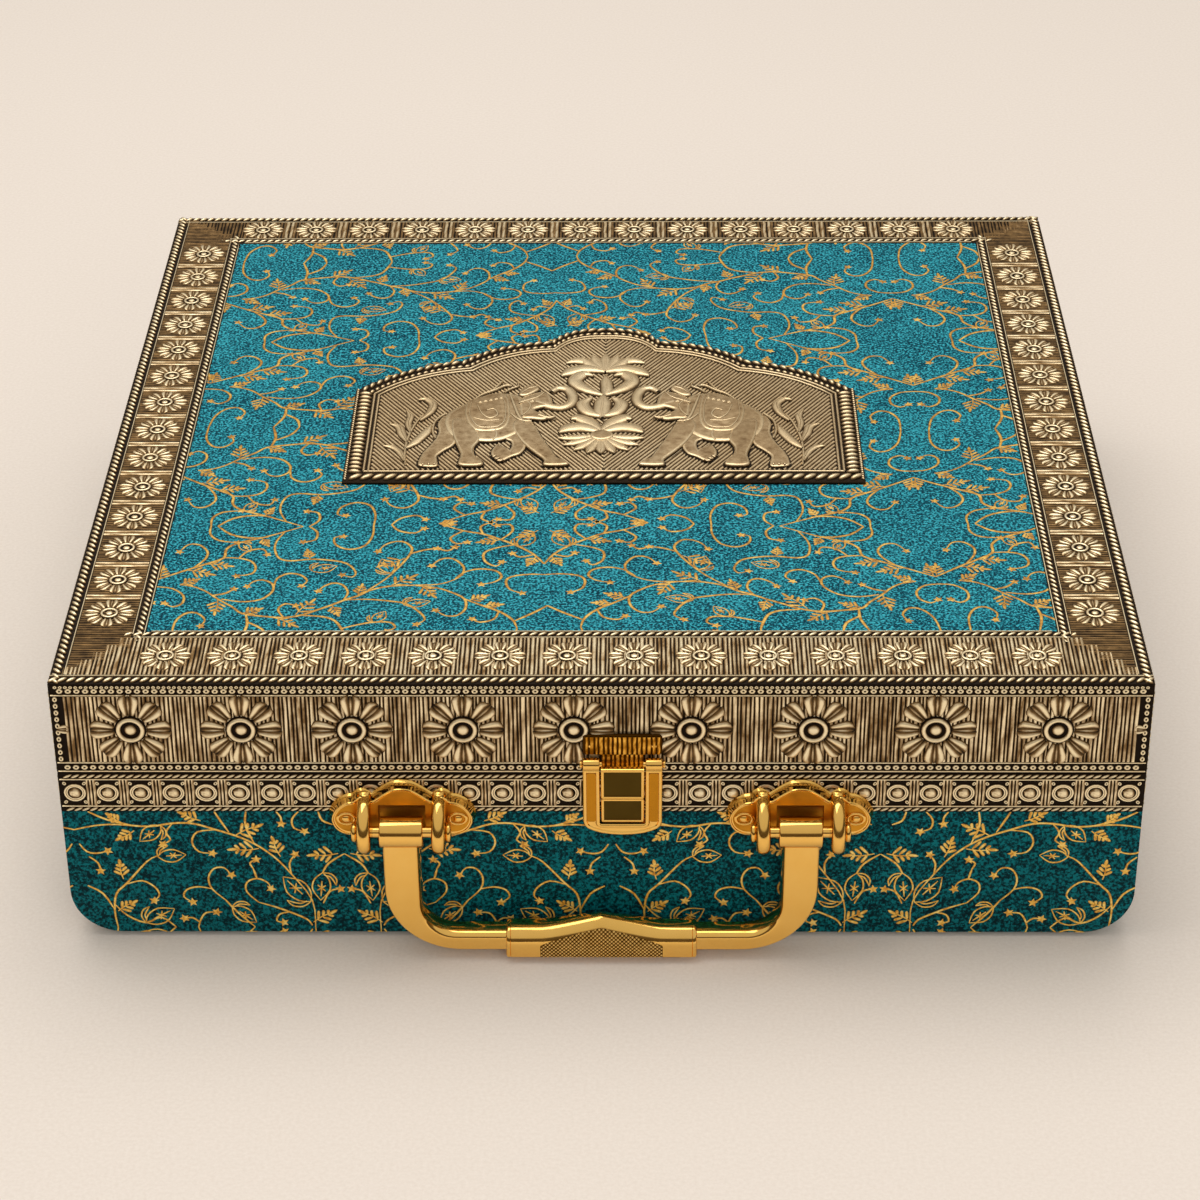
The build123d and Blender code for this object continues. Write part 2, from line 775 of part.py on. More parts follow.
def bail_outline():
    """Front view of the bail: wide arms running through tapering bends into a slimmer bar."""
    outer_x = handle_span / 2 + arm_width / 2
    inner_arm = outer_x - arm_width
    low = -bail_drop
    bar_top = low + bar_height
    corner = sin(pi / 4)
    right = [Line((outer_x, 0), (outer_x, low + bend_outer)),
             ThreePointArc((outer_x, low + bend_outer),
                           (outer_x - bend_outer * (1 - corner), low + bend_outer * (1 - corner)),
                           (outer_x - bend_outer, low)),
             Line((outer_x - bend_outer, low), (-outer_x + bend_outer, low)),
             ThreePointArc((-outer_x + bend_outer, low),
                           (-outer_x + bend_outer * (1 - corner), low + bend_outer * (1 - corner)),
                           (-outer_x, low + bend_outer)),
             Line((-outer_x, low + bend_outer), (-outer_x, 0)),
             Line((-outer_x, 0), (-inner_arm, 0)),
             Line((-inner_arm, 0), (-inner_arm, bar_top + bend_inner)),
             ThreePointArc((-inner_arm, bar_top + bend_inner),
                           (-inner_arm + bend_inner * (1 - corner), bar_top + bend_inner * (1 - corner)),
                           (-inner_arm + bend_inner, bar_top)),
             Line((-inner_arm + bend_inner, bar_top), (inner_arm - bend_inner, bar_top)),
             ThreePointArc((inner_arm - bend_inner, bar_top),
                           (inner_arm - bend_inner * (1 - corner), bar_top + bend_inner * (1 - corner)),
                           (inner_arm, bar_top + bend_inner)),
             Line((inner_arm, bar_top + bend_inner), (inner_arm, 0)),
             Line((inner_arm, 0), (outer_x, 0))]
    return make_face(Wire(right))


def handle_bail():
    """The bail with its two eyes."""
    half = bail_thickness / 2
    bail = upright(bail_outline(), -half, half)
    long_edges = [e for e in bail.edges() if e.center().Z < -tight and abs(e.center().Y) > half - tight]
    bail = chamfer(long_edges, bail_edge)
    bore = pin_radius + running_clearance
    for centre in bracket_centres:
        x0, x1 = centre - eye_width / 2, centre + eye_width / 2
        bail = bail + rod_x(x0, x1, 0, 0, eye_radius)
    for centre in bracket_centres:
        bail = bail - rod_x(centre - eye_width, centre + eye_width, 0, 0, bore)
    return Pos(0, pivot_y, pivot_z) * bail


def grip_section():
    """Side view of the grip: flat front, rounded corners, a ridge that leans back."""
    half_y = grip_thickness / 2
    half_z = grip_height / 2
    cut = grip_corner
    return polygon([(-half_y, -half_z + cut), (-half_y + cut, -half_z), (half_y - cut, -half_z),
                    (half_y, -half_z + cut), (half_y, half_z + grip_peak / 2),
                    (half_y - cut, half_z + grip_peak), (-half_y + cut, half_z + grip_shoulder),
                    (-half_y, half_z - cut)])


def grip_front():
    """Front view of the grip: it rises to a peak over the middle."""
    half = grip_length / 2
    low = -grip_height / 2
    top = grip_height / 2
    rise = top + grip_shoulder
    return polygon([(-half, low), (half, low), (half, top), (grip_peak_run, rise), (0, top + grip_peak),
                    (-grip_peak_run, rise), (-half, top)])


def handle_grip(bail):
    """Grip sleeve round the bar, with its peaked thumb ridge."""
    middle_z = pivot_z - bail_drop + bar_height / 2
    body = along_x(grip_section(), -grip_length / 2, grip_length / 2)
    sleeve = body & upright(grip_front(), -grip_thickness, grip_thickness)
    return Pos(0, pivot_y, middle_z) * sleeve - bail


# The latch

def latch_pin():
    reach = latch_width / 2 + slip
    pin = rod_x(latch_x - reach, latch_x + reach, latch_y, latch_pin_z, latch_pin_radius)
    for s in (-1, 1):
        x0, x1 = sorted((latch_x + s * reach, latch_x + s * (reach + latch_pin_head)))
        pin = pin + rod_x(x0, x1, latch_y, latch_pin_z, latch_pin_head_radius)
    return pin


def rimmed_panel(half, z0, z1, back, front):
    """A small panel with a raised rim round a sunk field."""
    panel = block(-half, half, front, back, z0, z1)
    field = block(-half + latch_rim, half - latch_rim, front, front + latch_rim_height,
                  z0 + latch_rim, z1 - latch_rim)
    return panel - field


def latch_lid_plate():
    """Fixed upper half of the latch: flange, middle knuckle and the panel that hangs over the seam."""
    half = latch_width / 2 - latch_arm - latch_side_gap
    flange = block(-latch_width / 2, latch_width / 2, front_face - latch_flange, front_face,
                   latch_flange_bottom, latch_flange_top)
    web = block(-half, half, latch_y, front_face, latch_pin_z, latch_flange_bottom)
    knuckle = rod_x(-half, half, latch_y, latch_pin_z, latch_knuckle)
    pan_front = latch_y - latch_knuckle + latch_rim_height
    pan = rimmed_panel(half, pan_bottom, latch_pin_z - latch_knuckle / 2, pan_front + pan_thickness, pan_front)
    plate = flange + web + knuckle + pan
    plate = plate - rod_x(-latch_width, latch_width, latch_y, latch_pin_z, latch_pin_radius)
    plate = Pos(latch_x, 0, 0) * plate
    return without(plate, [shank_hole(x, front_face - latch_flange, front_face, latch_screw_z)
                           for x in latch_screw_x])


def latch_screws():
    seat = front_face - latch_flange
    return Compound(children=[domed_screw(x, seat, latch_screw_z, -1, latch_screw_head, latch_screw_dome,
                                          front_screw_end - seat) for x in latch_screw_x])


def latch_bail():
    """Hinged U of the latch, hanging over the seam round both panels."""
    half = latch_width / 2
    window = half - latch_arm
    top = latch_pin_z
    outline = make_face(Wire([
        Line((-half, top), (-window, top)), Line((-window, top), (-window, latch_window_bottom)),
        Line((-window, latch_window_bottom), (window, latch_window_bottom)),
        Line((window, latch_window_bottom), (window, top)), Line((window, top), (half, top)),
        Line((half, top), (half, latch_corner_z)),
        ThreePointArc((half, latch_corner_z), (0, latch_tip_z), (-half, latch_corner_z)),
        Line((-half, latch_corner_z), (-half, top))]))
    y0 = latch_y - latch_bail_thickness / 2
    y1 = latch_y + latch_bail_thickness / 2
    frame = upright(outline, y0, y1)
    groove_half = latch_arm / 2 - latch_rim - latch_groove_inset
    for s in (-1, 1):
        middle = s * (half - latch_arm / 2)
        groove = block(middle - groove_half, middle + groove_half, y0, y0 + latch_rim_height,
                       latch_window_bottom + latch_rim, top - latch_knuckle - latch_rim)
        knuckle = rod_x(middle - latch_arm / 2, middle + latch_arm / 2, latch_y, top, latch_knuckle)
        frame = frame - groove + knuckle
    frame = frame - rod_x(-latch_width, latch_width, latch_y, top, latch_pin_radius + running_clearance)
    return Pos(latch_x, 0, 0) * frame


def latch_catch():
    """Lower panel on the base that the bail's U drops round."""
    half = latch_width / 2 - latch_arm - latch_side_gap
    front = front_face - catch_thickness
    panel = rimmed_panel(half, catch_bottom, catch_top, front_face, front)
    return Pos(latch_x, 0, 0) * panel + prong(prong_x[0]) + prong(prong_x[1])


# The hinges

def hinge_lower(centre):
    """Leaf on the base with the two outer knuckles."""
    half = hinge_width / 2
    inner = hinge_middle / 2 + knuckle_gap
    leaf = block(-half, half, back_face, back_face + hinge_leaf, lower_leaf_bottom, lower_leaf_top)
    for s in (-1, 1):
        x0, x1 = sorted((s * inner, s * half))
        leaf = leaf + block(x0, x1, back_face, back_face + hinge_leaf, lower_leaf_top, hinge_z)
        leaf = leaf + rod_x(x0, x1, hinge_y, hinge_z, hinge_knuckle)
    leaf = leaf - rod_x(-hinge_width, hinge_width, hinge_y, hinge_z, hinge_pin_radius)
    leaf = Pos(centre, 0, 0) * leaf
    return without(leaf, [shank_hole(x, back_face, back_face + hinge_leaf, lower_screw_z)
                          for x in hinge_screw_x])


def hinge_upper(centre):
    """Leaf on the lid with the middle knuckle and the stop that ends the lid's travel."""
    half = hinge_width / 2
    middle = hinge_middle / 2
    leaf = block(-half, half, back_face, back_face + hinge_leaf, upper_leaf_bottom, upper_leaf_top)
    leaf = leaf + block(-middle, middle, back_face, back_face + hinge_leaf, hinge_z, upper_leaf_bottom)
    leaf = leaf + rod_x(-middle, middle, hinge_y, hinge_z, hinge_knuckle)
    stop = block(-middle, middle, hinge_y, hinge_y + stop_length,
                 hinge_z - stop_thickness / 2, hinge_z + stop_thickness / 2)
    bore = hinge_pin_radius + running_clearance
    leaf = leaf + stop - rod_x(-hinge_width, hinge_width, hinge_y, hinge_z, bore)
    leaf = Pos(centre, 0, 0) * leaf
    return without(leaf, [shank_hole(x, back_face, back_face + hinge_leaf, upper_screw_z)
                          for x in hinge_screw_x])


def hinge_pins():
    half = hinge_width / 2
    return Compound(children=[rod_x(c - half, c + half, hinge_y, hinge_z, hinge_pin_radius)
                              for c in hinge_centres])


def hinge_screws(z):
    """The four screws of the two leaves at one height."""
    seat = back_face + hinge_leaf
    return Compound(children=[domed_screw(x, seat, z, 1, hinge_screw_head, hinge_screw_rise,
                                          screw_length + hinge_leaf) for x in hinge_screw_x])


bail = handle_bail()
pieces = {
    "base_front_board": base_end_board(-board_y, -inner_y),
    "base_back_board": base_end_board(inner_y, board_y),
    "base_left_board": base_side_board(-1),
    "base_right_board": base_side_board(1),
    "base_left_edge_rail": base_edge_rail(-1),
    "base_right_edge_rail": base_edge_rail(1),
    "base_floor_board": base_floor(),
    "base_printed_cloth": base_cloth(),
    "base_feet": foot_set(),
    "base_band_front": base_band(0),
    "base_band_right": base_band(90),
    "base_band_back": base_band(180),
    "base_band_left": base_band(270),
    "liner_front": liner_end(-1),
    "liner_back": liner_end(1),
    "liner_left": liner_side(-1),
    "liner_right": liner_side(1),
    "floor_lining_pad": compartment_pad(),
    "divider_across": divider_across(),
    "divider_deep": divider_deep(),
    "lid_front_board": lid_end_board(-board_y, -inner_y),
    "lid_back_board": lid_end_board(inner_y, board_y),
    "lid_left_board": lid_side_board(-1),
    "lid_right_board": lid_side_board(1),
    "lid_top_board": lid_top(),
    "lid_lining_pad": lid_lining(),
    "lid_printed_cloth": cloth_panel(),
    "lid_skin_front": lid_skin(0),
    "lid_skin_right": lid_skin(90),
    "lid_skin_back": lid_skin(180),
    "lid_skin_left": lid_skin(270),
    "border_front": border_end(-1),
    "border_back": border_end(1),
    "border_left": border_side_strip(-1),
    "border_right": border_side_strip(1),
    "plaque": plaque(),
    "handle_bracket_left": handle_bracket(bracket_centres[0]),
    "handle_bracket_right": handle_bracket(bracket_centres[1]),
    "handle_bracket_screws": bracket_screws(),
    "handle_pins": handle_pins(),
    "handle_bail": bail,
    "handle_grip": handle_grip(bail),
    "latch_lid_plate": latch_lid_plate(),
    "latch_screws": latch_screws(),
    "latch_pin": latch_pin(),
    "latch_bail": latch_bail(),
    "latch_catch": latch_catch(),
    "hinge_lower_left": hinge_lower(hinge_centres[0]),
    "hinge_lower_right": hinge_lower(hinge_centres[1]),
    "hinge_upper_left": hinge_upper(hinge_centres[0]),
    "hinge_upper_right": hinge_upper(hinge_centres[1]),
    "hinge_pins": hinge_pins(),
    "hinge_screws_lower": hinge_screws(lower_screw_z),
    "hinge_screws_upper": hinge_screws(upper_screw_z),
}

for node, shape in pieces.items():
    export_step(shape, f"parts/{node}.step")
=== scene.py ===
# %% [markdown]
# # A dry fruit box
# A square gift box: wooden boards wrapped in printed teal cloth, thin embossed brass sheet on the lid's
# sides, its top border and the base's rim, a brass plaque with two elephants, a drop handle and a latch.
# The boards, hinges, joints and sizes come from the frame. This file dresses them, piece by piece.

# %% The frame
import bpy
import math
from math import atan2, cos, hypot, pi, radians, sin, sqrt
from mathutils import Matrix, Vector


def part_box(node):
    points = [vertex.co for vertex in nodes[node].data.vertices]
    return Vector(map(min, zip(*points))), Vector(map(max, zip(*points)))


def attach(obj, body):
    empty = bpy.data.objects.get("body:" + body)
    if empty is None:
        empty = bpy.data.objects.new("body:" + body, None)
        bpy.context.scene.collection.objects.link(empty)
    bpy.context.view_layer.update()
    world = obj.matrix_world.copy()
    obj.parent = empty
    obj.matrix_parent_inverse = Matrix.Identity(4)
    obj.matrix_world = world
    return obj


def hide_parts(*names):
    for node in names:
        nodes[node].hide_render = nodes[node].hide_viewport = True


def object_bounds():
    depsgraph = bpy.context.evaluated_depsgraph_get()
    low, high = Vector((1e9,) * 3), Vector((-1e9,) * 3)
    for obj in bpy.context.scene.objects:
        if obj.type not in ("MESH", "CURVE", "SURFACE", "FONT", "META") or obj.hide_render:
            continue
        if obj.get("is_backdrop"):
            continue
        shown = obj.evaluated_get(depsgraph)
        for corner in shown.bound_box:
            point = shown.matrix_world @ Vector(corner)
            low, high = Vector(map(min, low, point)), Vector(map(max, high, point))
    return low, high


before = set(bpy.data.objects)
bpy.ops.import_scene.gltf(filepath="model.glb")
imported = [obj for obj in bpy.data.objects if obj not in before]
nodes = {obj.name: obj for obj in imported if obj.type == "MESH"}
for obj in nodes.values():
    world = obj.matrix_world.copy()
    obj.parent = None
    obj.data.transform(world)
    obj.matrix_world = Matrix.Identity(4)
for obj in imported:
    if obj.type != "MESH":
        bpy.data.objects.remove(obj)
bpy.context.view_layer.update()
print("nodes in the frame:", len(nodes))

# %% [markdown]
# ## Sizes from the frame
# Every place is worked out from the boxes of the nodes, so the dressing stays on the part if a size
# changes. Lengths are in metres, and mm turns millimetres into them.

# %% Sizes
mm = 0.001
base_low, base_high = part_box("base_printed_cloth")
cloth_low, cloth_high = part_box("lid_printed_cloth")
side_low, side_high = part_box("lid_skin_front")
band_low, band_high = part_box("base_band_front")
plaque_low, plaque_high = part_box("plaque")
half = base_high.x
top_z = cloth_high.z
skin = 0.6 * mm
side_height = side_high.z - side_low.z
band_height = band_high.z - band_low.z
print("half width", round(half, 4), "top", round(top_z, 4), "lid side", round(side_height, 4))

# %% [markdown]
# ## Working by hand
# Operators act on whatever is selected, so each step starts from a clear choice. These few helpers
# keep that in one place: choose pieces, go in and out of edit mode, cut with a plane, copy, join.

# %% Helpers: choosing, cutting and joining
def clear_choice():
    if bpy.context.object and bpy.context.object.mode != "OBJECT":
        bpy.ops.object.mode_set(mode="OBJECT")
    bpy.ops.object.select_all(action="DESELECT")


def take(*pieces):
    clear_choice()
    for piece in pieces:
        piece.select_set(True)
    bpy.context.view_layer.objects.active = pieces[0]
    return pieces[0]


def name_it(name):
    piece = bpy.context.object
    piece.name = name
    piece.data.name = name
    return piece


def settle(piece):
    """Puts the piece's place, turn and scale into its mesh."""
    take(piece)
    bpy.ops.object.transform_apply(location=True, rotation=True, scale=True)
    return piece


def shaped(name, scale):
    """Names the newest piece and draws it out along X, Y and Z."""
    piece = name_it(name)
    piece.scale = scale
    return settle(piece)


def grid(name, across, along, scale=(1, 1, 1)):
    bpy.ops.mesh.primitive_grid_add(x_subdivisions=across, y_subdivisions=along, size=1)
    return shaped(name, scale)


def ball(name, segments, rings, radius, scale):
    bpy.ops.mesh.primitive_uv_sphere_add(segments=segments, ring_count=rings, radius=radius * mm)
    return shaped(name, scale)


def hoop(name, around, across, major, minor, scale):
    """A ring; major and minor are its radii in millimetres."""
    bpy.ops.mesh.primitive_torus_add(major_segments=around, minor_segments=across,
                                     major_radius=major * mm, minor_radius=minor * mm)
    return shaped(name, scale)


def edit(piece, kind=None):
    """Into edit mode with all selected, by vertices, edges or faces."""
    take(piece)
    bpy.ops.object.mode_set(mode="EDIT")
    if kind:
        bpy.ops.mesh.select_mode(type=kind)
    bpy.ops.mesh.select_all(action="SELECT")


def done():
    bpy.ops.object.mode_set(mode="OBJECT")


def step_in(width, rise):
    """Draws the chosen face in and lifts it, both in millimetres."""
    bpy.ops.mesh.inset(thickness=width * mm, depth=rise * mm)


def extrude_up(rise):
    bpy.ops.mesh.extrude_region_move(TRANSFORM_OT_translate={"value": (0, 0, rise)})


def lift_up(rise):
    bpy.ops.transform.translate(value=(0, 0, rise))


def cut_away(piece, point, normal, cap=False):
    """Removes what lies beyond a plane."""
    edit(piece)
    bpy.ops.mesh.bisect(plane_co=point, plane_no=normal, clear_outer=True, use_fill=cap)
    done()


def halved(piece, cap=False):
    """Only the upper half of a piece stays."""
    cut_away(piece, (0, 0, 0), (0, 0, -1), cap)
    return piece


def face_out(piece):
    """Turns every face outwards."""
    edit(piece)
    bpy.ops.mesh.normals_make_consistent(inside=False)
    done()


def round_edges(piece, width, segments, degrees):
    """Rounds the edges that are sharper than an angle."""
    take(piece)
    rounded = piece.modifiers.new("rounded", "BEVEL")
    rounded.width = width
    rounded.segments = segments
    rounded.limit_method = "ANGLE"
    rounded.angle_limit = radians(degrees)
    bpy.ops.object.modifier_apply(modifier="rounded")


def choose(piece, rule, kind="VERT"):
    """In edit mode, selects the vertices, edges or faces that a rule on their middle accepts."""
    edit(piece, kind)
    bpy.ops.mesh.select_all(action="DESELECT")
    done()
    points = piece.data.vertices
    if kind == "VERT":
        for v in points:
            v.select = rule(v.co)
    elif kind == "EDGE":
        for e in piece.data.edges:
            e.select = rule((points[e.vertices[0]].co + points[e.vertices[1]].co) / 2)
    else:
        for f in piece.data.polygons:
            f.select = rule(f.center)
    bpy.ops.object.mode_set(mode="EDIT")


def copy_of(model, name):
    piece = model.copy()
    piece.data = model.data.copy()
    piece.name = name
    piece.data.name = name
    bpy.context.scene.collection.objects.link(piece)
    return piece


def shift(piece, x=0.0, y=0.0, z=0.0):
    """Moves a piece's mesh."""
    piece.data.transform(Matrix.Translation((x, y, z)))
    return piece


def fronted(piece, x, y, z):
    """Turns a flat piece to face the front, its origin at a place."""
    piece.data.transform(Matrix.Translation((x, y, z)) @ Matrix.Rotation(pi / 2, 4, "X"))
    return piece


def placed(model, x, y, turn=0.0, size=1.0, lift=0.0, flip=False):
    """A copy of a model laid flat at x, y, turned about Z, perhaps mirrored."""
    piece = copy_of(model, model.name + "_copy")
    across = -size if flip else size
    piece.data.transform(Matrix.Translation((x, y, lift)) @ Matrix.Rotation(turn, 4, "Z")
                         @ Matrix.Diagonal((across, size, size, 1)))
    if flip:
        piece.data.flip_normals()
    return piece


def row_of(model, count, pitch):
    """Copies of a model in a row along X, centred on the model's own place."""
    piece = shift(copy_of(model, model.name + "_row"), -pitch * (count - 1) / 2)
    take(piece)
    lined = piece.modifiers.new("row", "ARRAY")
    lined.count = count
    lined.use_relative_offset = False
    lined.use_constant_offset = True
    lined.constant_offset_displace = (pitch, 0, 0)
    bpy.ops.object.modifier_apply(modifier="row")
    return piece


def join(name, pieces):
    take(*pieces)
    if len(pieces) > 1:
        bpy.ops.object.join()
    return name_it(name)


def smooth(piece, degrees):
    take(piece)
    bpy.ops.object.shade_smooth_by_angle(angle=radians(degrees))
    return piece


def drop(*models):
    """Takes away models whose copies are in place."""
    for model in models:
        bpy.data.objects.remove(model)


def faces(piece):
    return len(piece.data.polygons)


print("helpers ready")

# %% [markdown]
# ## Camera
# The photograph was taken with a long lens from about 31 degrees above, a little right of the middle.
# Its place was found by lining up the box's corners, and it is given as real distances.

# %% Camera
camera_place = Vector((0.0094, -0.8863, 0.5620))
lens_mm, sensor_mm = 97.2, 36
looks_down = radians(31.43)
looks_left = radians(-0.724)
roll = radians(-0.39)
forward = Vector((sin(looks_left) * cos(looks_down),
                  cos(looks_left) * cos(looks_down), -sin(looks_down)))
level = Vector((cos(looks_left), -sin(looks_left), 0))
upward = level.cross(forward)
right = level * cos(roll) + upward * sin(roll)
up = upward * cos(roll) - level * sin(roll)
bpy.ops.object.camera_add(location=camera_place)
camera = bpy.context.object
camera.name = "camera"
turned_round = Matrix((right, up, -forward)).transposed().to_4x4()
camera.matrix_world = Matrix.Translation(camera_place) @ turned_round
camera.data.sensor_width = sensor_mm
camera.data.lens = lens_mm
bpy.context.scene.camera = camera
print("camera lens", camera.data.lens)

# %% [markdown]
# ## Colours and shared surface effects
# Colours are written as they look on screen and turned into linear light. Effects that several
# finishes share are node groups: one for speckled cloth, one for the dark and bright of embossed
# metal, one for the faint wear of polished metal. They put out colours and values only.

# %% Colour and group helpers
def tint(red, green, blue):
    """A screen colour, 0 to 255, as linear light."""
    return tuple(((c / 255) / 12.92 if c < 11 else ((c / 255 + 0.055) / 1.055) ** 2.4)
                 for c in (red, green, blue)) + (1.0,)


def new_group(name, inputs, outputs):
    """An empty shader group with its sockets; each is (name, kind, default)."""
    group = bpy.data.node_groups.new(name, "ShaderNodeTree")
    for label, kind, default in inputs:
        socket = group.interface.new_socket(label, in_out="INPUT", socket_type=kind)
        if default is not None:
            socket.default_value = default
    for label, kind in outputs:
        group.interface.new_socket(label, in_out="OUTPUT", socket_type=kind)
    return group, group.nodes.new("NodeGroupInput"), group.nodes.new("NodeGroupOutput")


def object_place(tree):
    """Places on the model, which the patterns are laid by."""
    return tree.nodes.new("ShaderNodeTexCoord").outputs["Object"]


def stored_relief(tree):
    node = tree.nodes.new("ShaderNodeAttribute")
    node.attribute_name = "relief"
    return node.outputs["Fac"]


def ramp(tree, fac, stops):
    """A colour ramp fed by fac."""
    node = tree.nodes.new("ShaderNodeValToRGB")
    while len(node.color_ramp.elements) < len(stops):
        node.color_ramp.elements.new(0.5)
    for element, (place, colour) in zip(node.color_ramp.elements, stops):
        element.position = place
        element.color = colour
    tree.links.new(fac, node.inputs["Fac"])
    return node.outputs["Color"]


def noise(tree, vector, scale, detail, roughness):
    node = tree.nodes.new("ShaderNodeTexNoise")
    node.inputs["Detail"].default_value = detail
    node.inputs["Roughness"].default_value = roughness
    if isinstance(scale, (int, float)):
        node.inputs["Scale"].default_value = scale
    else:
        tree.links.new(scale, node.inputs["Scale"])
    tree.links.new(vector, node.inputs["Vector"])
    return node.outputs["Fac"]


def maths(tree, kind, a, b):
    node = tree.nodes.new("ShaderNodeMath")
    node.operation = kind
    for socket, value in zip(node.inputs, (a, b)):
        if isinstance(value, (int, float)):
            socket.default_value = value
        else:
            tree.links.new(value, socket)
    return node.outputs["Value"]


def mixed(tree, fac, a, b):
    """Mixes two colours; fac may be a number or a socket."""
    node = tree.nodes.new("ShaderNodeMix")
    node.data_type = "RGBA"
    for socket, value in zip((node.inputs[0], node.inputs[6], node.inputs[7]), (fac, a, b)):
        if isinstance(value, (int, float, tuple)):
            socket.default_value = value
        else:
            tree.links.new(value, socket)
    return node.outputs[2]


WHITE, BLACK = (1, 1, 1, 1), (0, 0, 0, 1)
COLOUR, VALUE = "NodeSocketColor", "NodeSocketFloat"
print("colour helpers ready")

# %% Group: speckled cloth
cloth_group, given, out = new_group(
    "speckled_cloth",
    [("Ground", COLOUR, WHITE), ("Light", COLOUR, WHITE),
     ("Dark", COLOUR, BLACK), ("Grain", VALUE, 1400.0)],
    [("Color", COLOUR), ("Height", VALUE)])
place = object_place(cloth_group)
grain = noise(cloth_group, place, given.outputs["Grain"], 2.0, 0.6)
cloudy = noise(cloth_group, place, 45.0, 3.0, 0.6)
light_specks = ramp(cloth_group, grain, [(0.53, BLACK), (0.59, WHITE)])
dark_specks = ramp(cloth_group, grain, [(0.43, WHITE), (0.49, BLACK)])
patches = ramp(cloth_group, cloudy, [(0.38, BLACK), (0.66, WHITE)])
ground = given.outputs["Ground"]
layers = [(patches, 0.28, "Light"), (dark_specks, 0.9, "Dark"), (light_specks, 0.85, "Light")]
for where, strength, shade in layers:
    amount = maths(cloth_group, "MULTIPLY", where, strength)
    ground = mixed(cloth_group, amount, ground, given.outputs[shade])
cloth_group.links.new(ground, out.inputs["Color"])
cloth_group.links.new(grain, out.inputs["Height"])
print("group:", cloth_group.name)

# %% Group: embossed metal
metal_group, given, out = new_group(
    "rubbed_relief",
    [("Recess", COLOUR, BLACK), ("Slope", COLOUR, BLACK),
     ("Crest", COLOUR, WHITE), ("Worn", COLOUR, WHITE)],
    [("Color", COLOUR), ("Roughness", VALUE), ("Height", VALUE)])
place = object_place(metal_group)
relief = stored_relief(metal_group)
tarnish = noise(metal_group, place, 420.0, 4.0, 0.65)
broad = noise(metal_group, place, 38.0, 2.0, 0.5)
uneven = maths(metal_group, "MULTIPLY", maths(metal_group, "SUBTRACT", tarnish, 0.5), 0.4)
shifted = maths(metal_group, "ADD", relief, uneven)
crest = ramp(metal_group, shifted, [(0.48, BLACK), (0.86, WHITE)])
slope = ramp(metal_group, shifted, [(0.12, BLACK), (0.55, WHITE)])
colour = mixed(metal_group, slope, given.outputs["Recess"], given.outputs["Slope"])
colour = mixed(metal_group, crest, colour, given.outputs["Crest"])
worn = maths(metal_group, "MULTIPLY", ramp(metal_group, broad, [(0.42, BLACK), (0.7, WHITE)]), 0.35)
colour = mixed(metal_group, maths(metal_group, "MULTIPLY", worn, crest), colour, given.outputs["Worn"])
rough = maths(metal_group, "SUBTRACT", 0.6, maths(metal_group, "MULTIPLY", crest, 0.28))
metal_group.links.new(colour, out.inputs["Color"])
metal_group.links.new(rough, out.inputs["Roughness"])
metal_group.links.new(tarnish, out.inputs["Height"])
print("group:", metal_group.name)

# %% Group: handling marks on polished metal
polish_group, given, out = new_group(
    "handling_marks", [("Rough", VALUE, 0.2), ("Marks", VALUE, 0.1)],
    [("Roughness", VALUE), ("Height", VALUE), ("Mask", VALUE)])
place = object_place(polish_group)
smear = noise(polish_group, place, 160.0, 3.0, 0.6)
fine = noise(polish_group, place, 2600.0, 2.0, 0.5)
marked = maths(polish_group, "MULTIPLY", ramp(polish_group, smear, [(0.45, BLACK), (0.75, WHITE)]),
               given.outputs["Marks"])
polish_group.links.new(maths(polish_group, "ADD", given.outputs["Rough"], marked), out.inputs["Roughness"])
polish_group.links.new(fine, out.inputs["Height"])
polish_group.links.new(smear, out.inputs["Mask"])
print("group:", polish_group.name)

# %% [markdown]
# ## Finishes
# Each finish is one material: printed cloth and its gold print, antique embossed brass, polished
# brass, wood, velvet and rubber. Their colours are screen colours, red, green and blue.

# %% Finish helpers
def finish_named(name, rough=0.5, metal=0.0):
    material = bpy.data.materials.new(name)
    material.use_nodes = True
    shader = material.node_tree.nodes["Principled BSDF"]
    shader.inputs["Roughness"].default_value = rough
    shader.inputs["Metallic"].default_value = metal
    return material, material.node_tree, shader


def paint(tree, shader, colour):
    tree.links.new(colour, shader.inputs["Base Color"])


def add_group(tree, group, **values):
    node = tree.nodes.new("ShaderNodeGroup")
    node.node_tree = group
    for label, value in values.items():
        node.inputs[label].default_value = value
    return node


def add_bump(tree, shader, height, strength, distance):
    bump = tree.nodes.new("ShaderNodeBump")
    bump.inputs["Strength"].default_value = strength
    bump.inputs["Distance"].default_value = distance
    tree.links.new(height, bump.inputs["Height"])
    tree.links.new(bump.outputs["Normal"], shader.inputs["Normal"])


def wear(piece, material):
    """Gives a piece its finish."""
    piece.data.materials.clear()
    piece.data.materials.append(material)
    return piece


# %% Finish: printed cloth
def speckled(name, rough, grain, colours, bump, depth):
    """A finish from the cloth group; the colours are its ground, light and dark specks."""
    material, tree, shader = finish_named(name, rough=rough)
    ground, light, dark = (tint(*colour) for colour in colours)
    speck = add_group(tree, cloth_group, Ground=ground, Light=light, Dark=dark, Grain=grain)
    paint(tree, shader, speck.outputs["Color"])
    add_bump(tree, shader, speck.outputs["Height"], bump, depth)
    return material, shader


def cloth_finish(name, *colours):
    material, shader = speckled(name, 0.62, 1350.0, colours, 0.6, 0.00015)
    shader.inputs["Specular IOR Level"].default_value = 0.08
    return material
